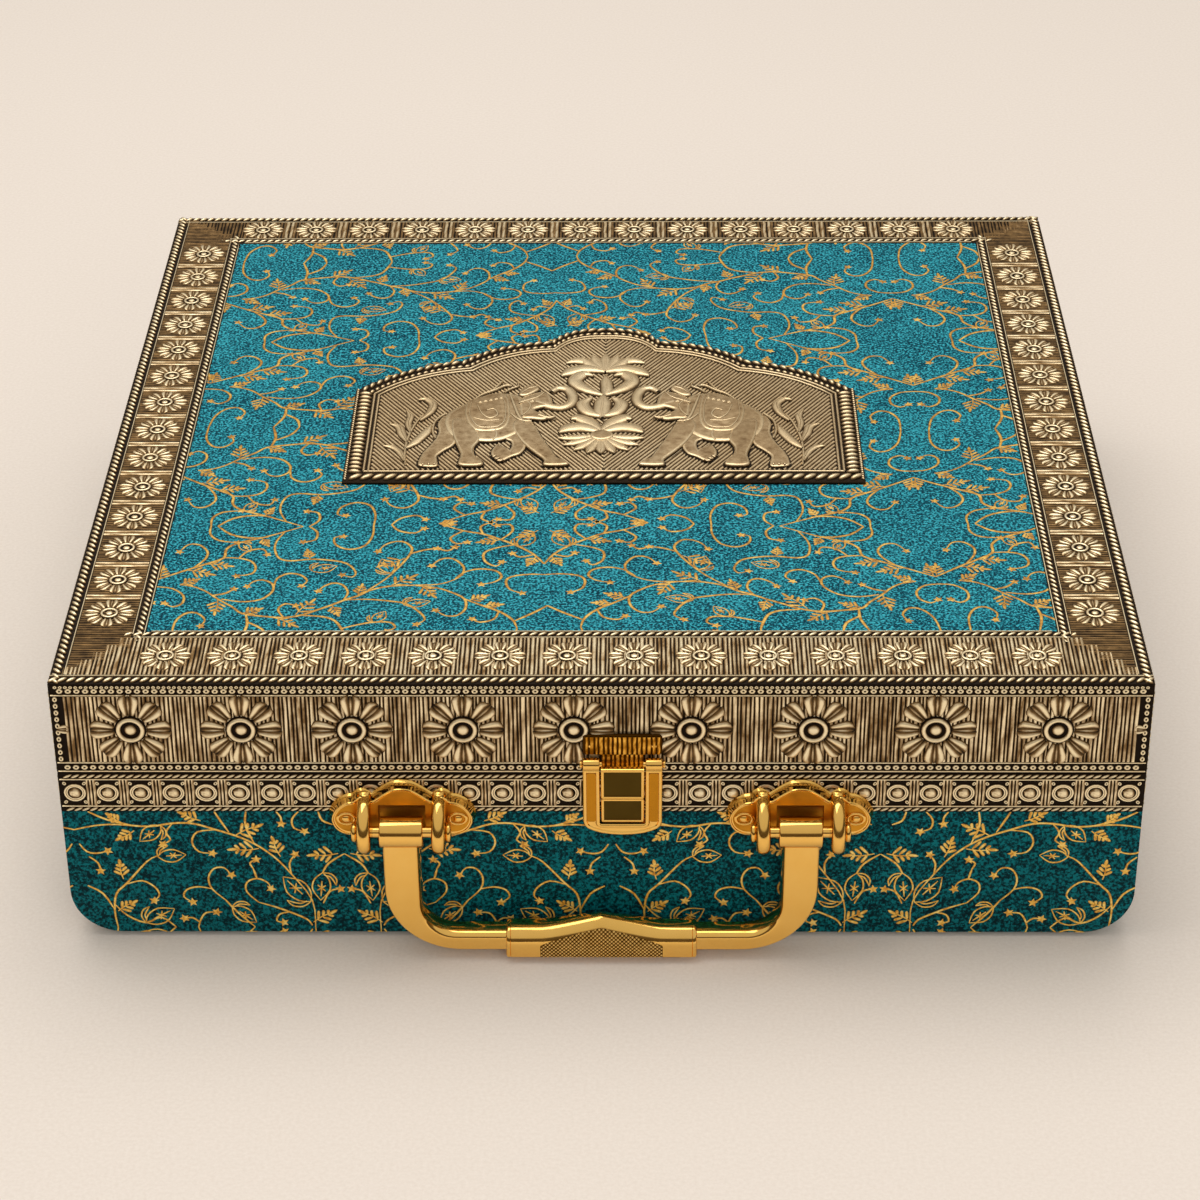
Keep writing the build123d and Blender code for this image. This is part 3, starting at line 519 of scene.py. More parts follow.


# Lid and base wear one cloth; the base's copy is painted darker, as painted shade on its upright faces.
teal_cloth = cloth_finish("teal_cloth", (0, 88, 104), (64, 178, 194), (0, 38, 54))
teal_cloth_painted_shade = cloth_finish("teal_cloth_painted_shade", (0, 61, 67), (12, 112, 120), (0, 28, 34))
print("cloth finishes ready")

# %% Finish: gold print
def print_finish(name, *colours):
    """The colours are the print's dark, middle and bright, and the edge of each stroke."""
    material, tree, shader = finish_named(name, rough=0.42, metal=0.3)
    low, middle, high, edge = (tint(*colour) for colour in colours)
    place = object_place(tree)
    flecks = noise(tree, place, 520.0, 3.0, 0.7)
    colour = ramp(tree, flecks, [(0.36, low), (0.5, middle), (0.66, high)])
    inked = ramp(tree, stored_relief(tree), [(0.12, BLACK), (0.5, WHITE)])
    paint(tree, shader, mixed(tree, inked, edge, colour))
    add_bump(tree, shader, flecks, 0.3, 0.0001)
    return material


gold_print = print_finish("gold_print", (200, 136, 44), (242, 188, 78), (255, 226, 134), (60, 70, 38))
pale_print = print_finish("pale_print", (166, 112, 34), (210, 156, 58), (240, 198, 100), (24, 72, 66))
print("print finishes ready")

# %% Finish: embossed brass
def embossed_finish(name, metal, *colours):
    """Dark recess, slope, crest and worn crest, as the relief attribute says."""
    material, tree, shader = finish_named(name, metal=metal)
    recess, slope, crest, worn = (tint(*colour) for colour in colours)
    rubbed = add_group(tree, metal_group, Recess=recess, Slope=slope, Crest=crest, Worn=worn)
    paint(tree, shader, rubbed.outputs["Color"])
    tree.links.new(rubbed.outputs["Roughness"], shader.inputs["Roughness"])
    add_bump(tree, shader, rubbed.outputs["Height"], 0.35, 0.0002)
    return material


antique_brass = embossed_finish("antique_brass", 0.82, (30, 19, 8), (156, 122, 76), (255, 236, 194),
                                (255, 246, 214))
plaque_brass = embossed_finish("plaque_brass", 0.82, (38, 26, 11), (130, 103, 68), (228, 202, 158),
                               (255, 240, 204))
rubbed_brass = embossed_finish("rubbed_brass", 1.0, (84, 52, 8), (190, 126, 28), (255, 196, 80),
                               (255, 214, 110))
knurled_brass = embossed_finish("knurled_brass", 1.0, (52, 34, 8), (196, 140, 54), (255, 222, 140),
                                (255, 232, 160))
print("embossed finishes ready")

# %% Finish: polished brass
def polished_finish(name, colour, deep, rough, marks):
    material, tree, shader = finish_named(name, rough=rough, metal=1.0)
    touched = add_group(tree, polish_group, Rough=rough, Marks=marks)
    fac = maths(tree, "MULTIPLY", touched.outputs["Mask"], 0.5)
    shade = mixed(tree, fac, tint(*colour), tint(*deep))
    paint(tree, shader, shade)
    tree.links.new(touched.outputs["Roughness"], shader.inputs["Roughness"])
    add_bump(tree, shader, touched.outputs["Height"], 0.08, 0.00005)
    return material


polished_brass = polished_finish("polished_brass", (252, 204, 112), (240, 182, 78), 0.1, 0.08)
amber_brass = polished_finish("amber_brass", (204, 140, 36), (150, 98, 18), 0.22, 0.1)
dark_brass = polished_finish("dark_brass", (84, 66, 24), (66, 50, 16), 0.3, 0.1)
# A darker, amber copy of the polished brass: painted shade and painted reflection of the floor in the hollow
# round the barrel.
hollow_brass_painted_shade = polished_finish("hollow_brass_painted_shade", (226, 158, 48), (120, 76, 14), 0.34, 0.3)
hinge_brass = polished_finish("hinge_brass", (222, 176, 84), (176, 128, 50), 0.28, 0.18)


def polish(piece):
    """Most of the cast hardware has the same bright finish."""
    return wear(piece, polished_brass)


print("polished finishes ready")

# %% Finishes: wood, velvet, satin and rubber
wood, tree, shader = finish_named("board_wood", rough=0.6)
place = object_place(tree)
stretch = tree.nodes.new("ShaderNodeMapping")
stretch.inputs["Scale"].default_value = (14, 160, 160)
tree.links.new(place, stretch.inputs["Vector"])
grain = noise(tree, stretch.outputs["Vector"], 1.6, 5.0, 0.65)
wood_tones = [(0.3, tint(140, 98, 58)), (0.55, tint(178, 132, 84)), (0.75, tint(196, 154, 104))]
paint(tree, shader, ramp(tree, grain, wood_tones))
add_bump(tree, shader, grain, 0.25, 0.0003)


def pile_finish(name, sheen, grain, *colours):
    material, shader = speckled(name, 0.85, grain, colours, 0.5, 0.0002)
    shader.inputs["Sheen Weight"].default_value = sheen
    shader.inputs["Sheen Roughness"].default_value = 0.35
    return material


velvet = pile_finish("lining_velvet", 0.7, 2200.0, (120, 20, 34), (150, 40, 54), (84, 10, 22))
rubber = pile_finish("foot_rubber", 0.05, 900.0, (26, 25, 24), (44, 43, 42), (12, 12, 12))
print("finishes:", len(bpy.data.materials))

# %% [markdown]
# ## Carried-over nodes
# Boards, liners, dividers, feet and hinges already have the right shape, so they only get their
# finish. The two edge rails inside the base are covered with the lining's velvet.

# %% Finish the nodes that stay
around = ["front", "back", "left", "right"]
kept = [
    (wood, ["base_" + place + "_board" for place in around + ["floor"]]),
    (wood, ["lid_" + place + "_board" for place in around + ["top"]]),
    (velvet, ["liner_" + place for place in around] + ["divider_across", "divider_deep"]),
    (velvet, ["base_left_edge_rail", "base_right_edge_rail"]),
    (rubber, ["base_feet"]),
    (hinge_brass, ["hinge_" + place for place in ("lower_left", "lower_right", "upper_left", "upper_right")]),
    (hinge_brass, ["hinge_pins", "hinge_screws_lower", "hinge_screws_upper"]),
]
for material, names in kept:
    for name in names:
        wear(nodes[name], material)
print("nodes finished:", sum(len(names) for material, names in kept))

# %% [markdown]
# ## Embossed sheet, drawn flat
# The lid's sides, its top border and the base's rim are thin brass sheet pressed with a few motifs: round
# reeds, oval beads, rope, rosettes and rings. Each motif is modelled once, lying flat with Z as its
# height, and copied along a strip. The strip is then stood up or laid on the box. Each point keeps how
# high it stands, from 0 to 1, in an attribute called relief, and the finish reads it: recesses are dark
# where the tarnish stays, crests are rubbed bright.

# %% Relief attribute
def relief_of(piece):
    """The piece's relief attribute, made if it has none."""
    found = piece.data.attributes.get("relief")
    return found or piece.data.attributes.new("relief", "FLOAT", "POINT")


def mark_relief(piece, low=0.0):
    """Stores how high each point stands between the foot and the crest."""
    top = max(v.co.z for v in piece.data.vertices)
    layer = relief_of(piece)
    for v in piece.data.vertices:
        layer.data[v.index].value = low + (1 - low) * max(0.0, v.co.z / top)
    return piece


print("relief marking ready")

# %% [markdown]
# A reed is a long half-round rib. A grid with four columns is enough: its two middle columns are
# lifted. The real ribs are uneven, so each is set over, lowered and waved a little after the repeat.

# %% Reed field
reed_pitch = 1.2 * mm
reed_rise = 0.42 * mm


def chance(n, seed):
    """A fixed number from 0 to 1 for each n, that looks random."""
    return math.modf(abs(sin(12.9898 * (n + 1) + 4.1 * seed) * 43758.5453))[0]


def reed_field(length, count, seed=1, pitch=reed_pitch, rise=reed_rise, calm=0.0):
    """Ribs side by side along X, each of the given length along Y, some lower or set over a little."""
    reed = grid("reed", 3, 5, (pitch * 0.92, length, 1))
    choose(reed, lambda co: abs(co.x) < pitch * 0.3)
    lift_up(rise)
    bpy.ops.transform.resize(value=(1.25, 1, 1))
    done()
    mark_relief(reed)
    field = row_of(reed, count, pitch)
    layer = relief_of(field)
    for v in field.data.vertices:
        n = round(v.co.x / pitch + count / 2)
        lower = 0.65 + 0.35 * chance(n, seed)
        sag = 0.8 + 0.2 * sin(9 * v.co.y / length + 6 * chance(n, seed + 3))
        v.co.x += pitch * (0.3 * (chance(n, seed + 1) - 0.5) + 0.03 * sin(7 * v.co.y / length + n))
        v.co.z *= lower
        layer.data[v.index].value *= (1 - calm) * lower * sag
    drop(reed)
    return smooth(field, 60)


print("reed field ready")

# %% [markdown]
# A bead is a small oval ring with a hollow, pressed into the sheet. It starts as a torus, is cut at the
# sheet and drawn out sideways. There are over a thousand, so each has only a few dozen faces.

# %% Bead and rope strand
bead_pitch = 2.35 * mm
bead = halved(hoop("bead", 10, 6, 0.55, 0.34, (1.12, 0.9, 1.7)))
mark_relief(bead)
smooth(bead, 80)

rope_pitch = 2.5 * mm
strand = halved(ball("rope_strand", 8, 6, 1, (0.62, 1.75, 0.85)))
take(strand)
bpy.ops.transform.rotate(value=radians(52), orient_axis="Z", center_override=(0, 0, 0))
settle(strand)
mark_relief(strand)
smooth(strand, 80)
print("bead faces", faces(bead), "strand faces", faces(strand))

# %% [markdown]
# A fine line between the rows is a narrow bar whose upper edges are drawn in.

# %% Fine line
line_width = 0.55 * mm
line_rise = 0.4 * mm


def fine_line(length, y):
    line = grid("fine_line", 24, 3, (length, line_width, 1))
    choose(line, lambda co: abs(co.y) < line_width * 0.3)
    lift_up(line_rise)
    done()
    mark_relief(line)
    return smooth(shift(line, y=y), 60)


print("fine line ready")

# %% [markdown]
# The rosette has eight petals round a ring and a dome. A petal is two rounded lobes beside a slim
# middle rib, with deep hollows between. One petal is a grid whose points are moved by two curves, how
# wide it is from root to tip and how high across, because no single operator presses that shape.

# %% Petal
petal_widths = [(0.0, 1.3), (0.25, 2.1), (0.5, 2.85), (0.72, 3.25), (0.86, 2.7), (0.95, 1.3), (1.0, 0.1)]
petal_root = 4.0 * mm
petal_tip = 11.6 * mm
petal_foot = 0.46 * mm
petal_height = 0.72 * mm


def between(t, stops):
    """Straight-line value at t through (place, value) stops."""
    for (a, low), (b, high) in zip(stops[:-1], stops[1:]):
        if t <= b:
            return low + (high - low) * (t - a) / (b - a)
    return stops[-1][1]


def petal_rise(across, along):
    """Height of a petal, 0 to 1: a middle rib, hollows beside it and two lobes."""
    side = abs(across)
    rib = max(0.0, 1 - (side / 0.2) ** 2) * (0.35 + 0.5 * sin(pi * min(1, along)))
    lobe = sin(pi * min(1, max(0, (side - 0.24) / 0.76))) ** 0.7 if side > 0.24 else 0
    ends = sin(pi * min(1, max(0.0, along * 0.94 + 0.05))) ** 0.45
    return max(rib, lobe, 0.06) * ends if side < 0.999 else 0.0


def make_petal(name):
    petal = grid(name, 12, 8)
    layer = relief_of(petal)
    for v in petal.data.vertices:
        side, run = 2 * v.co.x, v.co.y + 0.5
        width = between(run, petal_widths) * mm
        border = abs(side) > 0.99 or run < 0.01 or run > 0.99
        rise = 0.0 if border else petal_rise(side, run)
        height = 0.0 if border else petal_foot + petal_height * rise
        v.co = (side * width, petal_root + run * (petal_tip - petal_root), height)
        layer.data[v.index].value = rise
    return smooth(petal, 55)


petal = make_petal("petal")
print("petal faces", faces(petal))

# %% Ring and dome of the rosette
ring = halved(hoop("rosette_ring", 22, 8, 3.35, 0.72, (1, 1, 1.25)))
mark_relief(ring)
dome = halved(ball("rosette_dome", 14, 8, 1.75, (1, 1, 0.46)))
edit(dome)
bpy.ops.transform.vertex_random(offset=0.08 * mm, uniform=0.0, normal=0.0, seed=4)
done()
mark_relief(dome)
petals = [placed(petal, 0, 0, turn=radians(45 * k)) for k in range(8)]
bpy.ops.mesh.primitive_circle_add(vertices=24, radius=4.4 * mm, fill_type="NGON", location=(0, 0, 0))
seat = name_it("rosette_seat")
edit(seat)
extrude_up(petal_foot)
done()
relief_of(seat)
for piece in (ring, dome):
    piece.data.transform(Matrix.Translation((0, 0, petal_foot)) @ Matrix.Diagonal((1, 1, 0.85, 1)))
rosette = join("rosette", petals + [seat, ring, dome])
smooth(rosette, 55)
print("rosette faces", faces(rosette))

# %% [markdown]
# ## Sides of the lid
# Nine rosettes stand on a field of reeds between two rows of beads, with a fine line inside each row.
# The reeds are cut shorter than the strip, and the strip has its own thin sheet behind.

# %% Strip parts
def backing(length, height):
    """Thin sheet behind the relief, its upper face at zero, slightly rounded at the edges."""
    bpy.ops.mesh.primitive_cube_add(size=1, location=(0, height / 2, -skin / 2))
    sheet = shaped("backing", (length, height, skin))
    edit(sheet)
    bpy.ops.mesh.bevel(offset=0.15 * mm, segments=2, affect="EDGES")
    done()
    return sheet


def rope_line(rope, y, wide, tall):
    """A copy of a rope laid at a height of the strip, made slimmer and flatter."""
    line = placed(rope, 0, 0)
    line.data.transform(Matrix.Translation((0, y, 0)) @ Matrix.Diagonal((1, wide, tall, 1)))
    return line


def lid_strip(length, places):
    """Lid side, flat: X along it, Y up from its lower edge."""
    low_bead, high_bead = 1.7 * mm, side_height - 1.55 * mm
    low_line, high_line = low_bead + 1.5 * mm, high_bead - 1.4 * mm
    middle = (high_line + low_line) / 2
    reeds = reed_field(high_line - low_line - 0.7 * mm, int((length - 6.4 * mm) / reed_pitch))
    shift(reeds, y=middle)
    parts = [backing(length, side_height), reeds]
    parts += [fine_line(length - 1 * mm, y) for y in (low_line, high_line, 0.4 * mm)]
    beads = row_of(bead, int((length - 1.6 * mm) / bead_pitch), bead_pitch)
    dots = row_of(bead, int((length - 1.6 * mm) / (0.6 * bead_pitch)), bead_pitch)
    dots.data.transform(Matrix.Diagonal((0.6, 0.6, 0.6, 1)))
    parts += [placed(beads, 0, low_bead), placed(beads, 0, high_bead)]
    parts.append(placed(dots, 0, side_height - 0.42 * mm))
    parts += [placed(rosette, x, middle) for x in places]
    column = row_of(bead, 10, bead_pitch)
    for s in (-1, 1):
        edge = s * (length / 2 - 1.6 * mm)
        parts.append(placed(column, edge, middle, turn=pi / 2, size=0.92))
        parts.append(placed(petal, edge + s * 2.6 * mm, middle, turn=s * pi / 2, size=0.5))
    drop(beads, dots, column)
    return join("lid_side", parts)


# On the front the rosettes left of the latch stand a little closer than those right of it.
front_places = [(-128.5 + 30.3 * k) * mm for k in range(5)] + [(24.8 + 33.3 * k) * mm for k in range(4)]
even_places = [31.5 * (k - 4) * mm for k in range(9)]


def stand_up(piece, name, quarter_turns, bottom):
    """Stands a flat strip on a side: 0 front, 1 right, 2 back, 3 left."""
    piece.data.transform(Matrix.Rotation(quarter_turns * pi / 2, 4, "Z")
                         @ Matrix.Translation((0, -half, bottom)) @ Matrix.Rotation(pi / 2, 4, "X"))
    piece.name = name
    piece.data.name = name
    return piece


sides = ["front", "right", "back", "left"]
print("rosette places on the front", len(front_places))

# %% [markdown]
# The sheet is hammered flat under the hinge leaves, so they lie on it and no rosette stands through.

# %% Stand the four lid sides up
def flatten_under(strip, hinges):
    """Presses a strip on the back flat where hinge leaves lie on it, and a little round them."""
    pressed, margin = 0, 0.4 * mm
    for node in hinges:
        low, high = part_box(node)
        for v in strip.data.vertices:
            beside = low.x - margin < v.co.x < high.x + margin
            if beside and low.z - margin < v.co.z < high.z + margin and v.co.y > half:
                v.co.y = half
                pressed += 1
    print(strip.name, "points pressed flat", pressed)


for k, side in enumerate(sides):
    long_side = k % 2 == 0
    places = [(-x if k == 2 else x) for x in front_places] if long_side else even_places
    strip = lid_strip(2 * half if long_side else 2 * (half - skin), places)
    stand_up(strip, "lid_side_" + side, k, side_low.z)
    if side == "back":
        flatten_under(strip, ["hinge_upper_left", "hinge_upper_right"])
    wear(strip, antique_brass)
    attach(strip, "lid")
    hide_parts("lid_skin_" + side)
    print(strip.name, faces(strip), "faces")

# %% [markdown]
# ## Rim of the base
# The rim's band has rings with a swirled middle, three short bars between rings, and a fine rope
# above and below. The swirl is a small dome whose points are shaken.

# %% Ring motif of the rim
ring_pitch = 9.1 * mm
outer_ring = halved(hoop("outer_ring", 18, 6, 2.6, 0.34, (1.08, 1, 1.3)))
mark_relief(outer_ring)
inner_ring = placed(outer_ring, 0, 0, size=0.8)
swirl = halved(ball("swirl", 10, 8, 1.72, (1.05, 1, 0.5)))
edit(swirl)
bpy.ops.transform.vertex_random(offset=0.22 * mm, uniform=0.0, normal=0.4, seed=7)
done()
mark_relief(swirl)
motif = join("ring_motif", [outer_ring, inner_ring, swirl])
smooth(motif, 60)
print("ring motif faces", faces(motif))

# %% Band strip
def band_strip(length, count):
    """Rim band, flat: X along it, Y up from its lower edge."""
    middle = band_height / 2
    bars = reed_field(8.6 * mm, 3, seed=3, pitch=0.95 * mm, rise=0.4 * mm)
    parts = [backing(length, band_height)]
    parts += [fine_line(length - 1 * mm, y) for y in (2.0 * mm, band_height - 2.0 * mm)]
    first = -ring_pitch * (count - 1) / 2
    for k in range(count):
        parts.append(placed(motif, first + ring_pitch * k, middle))
    for k in range(1, count):
        parts.append(placed(bars, first + ring_pitch * (k - 0.5), middle))
    corners = [(s, t) for s in (-1, 1) for t in (-1, 1)]
    for k in range(count):
        for s, t in corners:
            parts.append(placed(bead, first + ring_pitch * k + s * 2.75 * mm, middle + t * 3.1 * mm,
                                turn=s * t * pi / 4, size=0.7))
    tight = 0.86 * rope_pitch
    rope = row_of(strand, int((length - 2 * mm) / tight), tight)
    parts += [rope_line(rope, y, 0.62, 0.62) for y in (0.95 * mm, band_height - 0.95 * mm)]
    drop(bars, rope)
    return join("band", parts)


ring_count = 33
for k, side in enumerate(sides):
    length = 2 * half if k % 2 == 0 else 2 * (half - skin)
    strip = band_strip(length, ring_count)
    stand_up(strip, "rim_band_" + side, k, band_low.z)
    if side == "back":
        flatten_under(strip, ["hinge_lower_left", "hinge_lower_right"])
    wear(strip, antique_brass)
    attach(strip, "base")
    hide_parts("base_band_" + side)
    print(strip.name, faces(strip), "faces")

# %% [markdown]
# ## Border of the top
# Four mitred strips frame the cloth. From the outer edge inwards: a rope, a fine line, reeds with small
# rosettes, another line and a thinner rope. Each strip is made flat and straight, cut along its two
# mitres, and turned to its side.

# %% Border strip
panel_x = cloth_high.x
border_depths = {"front": cloth_low.y + half, "right": half - panel_x, "back": half - cloth_high.y,
                 "left": half - panel_x}
neighbours = {"front": ("left", "right"), "right": ("front", "back"), "back": ("right", "left"),
              "left": ("back", "front")}


def border_strip(depth, ends, seed, places, calm):
    """One strip, flat: X along it, Y inwards; ends are the depths met at the mitres."""
    length = 2 * half
    outer_rope, inner_rope = 1.75 * mm, depth - 1.75 * mm
    outer_line, inner_line, edge_line = 3.9 * mm, depth - 3.5 * mm, depth - 0.35 * mm
    middle = (inner_line + outer_line) / 2
    tall = inner_line - outer_line - 0.7 * mm
    reeds = reed_field(tall, int(length / reed_pitch), seed=seed, calm=calm,
                       rise=(1 - 0.4 * calm) * reed_rise)
    parts = [backing(length, depth), shift(reeds, y=middle)]
    parts += [fine_line(length, y) for y in (outer_line, inner_line, edge_line)]
    rope = row_of(strand, int(length / rope_pitch), rope_pitch)
    parts += [rope_line(rope, y, size, 0.8 * size) for y, size in ((outer_rope, 1.15), (inner_rope, 0.9))]
    parts += [placed(rosette, x, middle, size=0.64) for x in places]
    if calm:
        step = places[1] - places[0]
        pair = reed_field(tall, 2, seed=2, pitch=1.5 * mm)
        parts += [placed(pair, x + step / 2, middle, lift=0.1 * mm) for x in places[:-1]]
        drop(pair)
    strip = join("border", parts)
    drop(rope)
    for s, end in ((-1, ends[0]), (1, ends[1])):
        cut_away(strip, (s * half, 0, 0), (s * depth, end, 0))
    return strip


print("border depths mm", {k: round(v * 1000, 1) for k, v in border_depths.items()})

# %% Lay the four strips
rosette_count = 14
worn_flat = 0.45
for k, side in enumerate(sides):
    depth = border_depths[side]
    ends = [border_depths[n] for n in neighbours[side]]
    steps = [n - (rosette_count - 1) / 2 for n in range(rosette_count)]
    if k % 2 == 0:
        places = [18.4 * step * mm for step in steps]
    else:
        pitch = (cloth_high.y - cloth_low.y) / rosette_count
        middle = (cloth_high.y + cloth_low.y) / 2 * (1 if k == 1 else -1)
        places = [middle + pitch * step for step in steps]
    strip = border_strip(depth, ends, 10 + k, places, 0.0 if k == 0 else worn_flat)
    strip.data.transform(Matrix.Rotation(k * pi / 2, 4, "Z") @ Matrix.Translation((0, -half, top_z)))
    strip.name = strip.data.name = "top_border_" + side
    wear(strip, antique_brass)
    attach(strip, "lid")
    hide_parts("border_" + side)
    print(strip.name, faces(strip), "faces")

# %% [markdown]
# ## Cloth
# The lid's cloth is one panel glued down inside the border. The base's cloth goes round the box: over
# the front, back and sides and under the bottom, with the lower side edges rounded.

# %% Cloth on the lid
def block(name, low, high):
    """A block between two corners."""
    bpy.ops.mesh.primitive_cube_add(size=1, location=(low + high) / 2)
    return shaped(name, high - low)


lid_cloth = block("lid_cloth", cloth_low, cloth_high)
edit(lid_cloth)
bpy.ops.mesh.bevel(offset=0.2 * mm, segments=2, affect="EDGES")
done()
wear(lid_cloth, teal_cloth)
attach(lid_cloth, "lid")
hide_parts("lid_printed_cloth")
print("lid cloth", faces(lid_cloth), "faces")

# %% Cloth round the base
corner = 14 * mm
cloth_thickness = 0.6 * mm
near = 0.1 * mm
base_cloth = block("base_cloth", base_low, base_high)
choose(base_cloth, lambda co: co.z < base_low.z + near and abs(co.x) > half - near
       and abs(co.y) < near, "EDGE")
bpy.ops.mesh.bevel(offset=corner, segments=14, affect="EDGES")
done()
choose(base_cloth, lambda co: co.z > base_high.z - near, "FACE")
bpy.ops.mesh.delete(type="FACE")
done()
face_out(base_cloth)
wall = base_cloth.modifiers.new("wall", "SOLIDIFY")
wall.thickness = cloth_thickness
wall.offset = -1
bpy.ops.object.modifier_apply(modifier="wall")
round_edges(base_cloth, 0.25 * mm, 2, 50)
smooth(base_cloth, 35)
# The base's cloth takes the darker copy: painted shade on its upright faces.
wear(base_cloth, teal_cloth_painted_shade)
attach(base_cloth, "base")
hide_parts("base_printed_cloth")
print("base cloth", faces(base_cloth), "faces")

# %% [markdown]
# ## Plaque
# The plaque is one stamped sheet: a rope rim, a double line, a field of slanted hatching and, standing
# on it, two elephants that face each other across a flower column. Stamped figures have flat tops and
# rounded edges, so each is a flat outline raised in steps, and the rims are painted brighter
# as a highlight. Outlines are given in millimetres on the plaque, X from its middle and Y from its
# front edge.

# %% Drawing helpers
def smooth_line(points, steps, closed=False):
    """Points along a smooth curve that passes through the given ones."""
    count = len(points)
    last = count if closed else count - 1
    line = []
    for k in range(last):
        a, b, c, d = (Vector(points[j % count] if closed else points[min(max(j, 0), count - 1)])
                      for j in (k - 1, k, k + 1, k + 2))
        for step in range(steps):
            t = step / steps
            line.append(0.5 * (2 * b + (c - a) * t + (2 * a - 5 * b + 4 * c - d) * t * t
                               + (3 * b - a - 3 * c + d) * t ** 3))
    return line if closed else line + [Vector(points[-1])]


def side_way(line, k, closed=False):
    """Unit direction across a line at point k."""
    count = len(line)
    before = line[k - 1] if k or closed else line[0]
    after = line[(k + 1) % count] if k + 1 < count or closed else line[-1]
    way = (after - before).normalized()
    return Vector((way.y, -way.x))


def grown(outline, by):
    """A closed outline moved outwards."""
    turn = sum(a.x * b.y - b.x * a.y for a, b in zip(outline, outline[1:] + outline[:1]))
    by = by if turn > 0 else -by
    return [p + side_way(outline, k, True) * by for k, p in enumerate(outline)]


def flat_shape(name, outline, height=0.0):
    """A filled circle whose points are moved onto an outline."""
    bpy.ops.mesh.primitive_circle_add(vertices=len(outline), fill_type="NGON")
    shape = name_it(name)
    for v, p in zip(shape.data.vertices, outline):
        v.co = (p.x * mm, p.y * mm, height)
    shape.data.update()
    if shape.data.polygons[0].normal.z < 0:
        shape.data.flip_normals()
    return shape


print("drawing helpers ready")

# %% Raised outline
moat = 0.5
moat_height = 0.32 * mm
flat_top = 0.57


def raised(name, points, rise, edge=0.8):
    """A stamped figure: a dark foot, a wall, a rounded rim painted bright as a highlight, and a flat top."""
    outline = smooth_line(points, 4, closed=True)
    shape = flat_shape(name, grown(outline, moat), moat_height)
    edit(shape, "FACE")
    climb = rise - 0.34
    for step in ((moat, 0.02), (0.06, 0.6 * climb), (0.3 * edge, 0.3 * climb), (0.7 * edge, 0.1 * climb)):
        step_in(*step)
    done()
    layer = relief_of(shape)
    # The rim's relief, 0.95, is set above the flat top's, so the rim is painted bright as a highlight.
    levels = [(moat_height + 0.02 * mm, 0.0), (moat_height + 0.62 * climb * mm, 0.62),
              (moat_height + 0.93 * climb * mm, 0.95), (rise * mm, flat_top)]
    for v in shape.data.vertices:
        near = min(levels, key=lambda level: abs(level[0] - v.co.z))
        layer.data[v.index].value = near[1]
    return smooth(shape, 65)


def band_along(name, points, width, rise, across=4, steps=5, ends=(0.6, 0.6), foot=0.0, low=0.1):
    """A rounded rib that follows a smooth line and narrows at its ends."""
    line = smooth_line(points, steps)
    count = len(line)
    rib = grid(name, across, count - 1)
    layer = relief_of(rib)
    for v in rib.data.vertices:
        side, run = 2 * v.co.x, v.co.y + 0.5
        k = round(run * (count - 1))
        wide = width / 2 * between(run, [(0, ends[0]), (0.3, 1.0), (0.7, 1.0), (1, ends[1])])
        at = line[k] + side_way(line, k) * side * wide
        round_off = sqrt(max(0.0, 1 - side * side))
        v.co = (at.x * mm, at.y * mm, (foot + (rise - foot) * round_off) * mm)
        layer.data[v.index].value = low + (1 - low) * round_off
    return smooth(rib, 70)


def follow(model, line, pitch, tilt, size):
    """Copies of a model at even steps along a line, each turned to run with it."""
    copies = []
    travelled, due = 0.0, 0.5 * pitch
    for a, b in zip(line[:-1], line[1:]):
        length = (b - a).length
        while due <= travelled + length:
            at = a.lerp(b, (due - travelled) / length)
            heading = atan2(b.y - a.y, b.x - a.x)
            piece = copy_of(model, model.name + "_copy")
            piece.data.transform(Matrix.Translation((at.x * mm, at.y * mm, 0))
                                 @ Matrix.Rotation(heading + tilt, 4, "Z") @ Matrix.Diagonal((*size, 1)))
            copies.append(piece)
            due += pitch
        travelled += length
    return copies


print("raised outlines and ribs ready")

# %% [markdown]
# The plaque's outline has three lobes on each side. The plate, the rope and the inner line all come
# from the same outline, drawn in by different amounts.

# %% Outline of the plaque
plaque_half = plaque_high.x / mm
plaque_deep = (plaque_high.y - plaque_low.y) / mm
shoulder = 0.58 * plaque_deep
cusps = [(0.586 * plaque_half, 0.779 * plaque_deep), (0.229 * plaque_half, 0.91 * plaque_deep)]
lobe_rise = 3.2
lobe_steps = 8


def lobe(a, b, rise):
    """Points of one bulging lobe, without its last."""
    a, b = Vector(a), Vector(b)
    out_way = Vector((b.y - a.y, a.x - b.x)).normalized()
    runs = [k / lobe_steps for k in range(lobe_steps)]
    return [a.lerp(b, run) + out_way * rise * 4 * run * (1 - run) for run in runs]


def arch(inset):
    """The arch from the right shoulder to the left one, drawn in by inset."""
    right = [(plaque_half - inset, shoulder - inset / 2), (cusps[0][0] - inset / 2, cusps[0][1] - inset),
             (cusps[1][0] - inset / 4, cusps[1][1] - inset), (0, plaque_deep - inset)]
    ends = right + [(-x, y) for x, y in reversed(right[:-1])]
    line = []
    for a, b in zip(ends[:-1], ends[1:]):
        line += lobe(a, b, lobe_rise)
    return line + [Vector(ends[-1])]


def plaque_line(inset):
    return [Vector((-plaque_half + inset, inset)), Vector((plaque_half - inset, inset))] + arch(inset)


print("plaque outline points", len(plaque_line(0)))

# %% Plate and rim of the plaque
field_height = 0.9
plate = flat_shape("plaque_plate", plaque_line(0))
edit(plate, "FACE")
extrude_up(0.7 * field_height * mm)
step_in(0.35, 0.3 * field_height)
done()
shift(plate, z=-field_height * mm)
relief_of(plate)

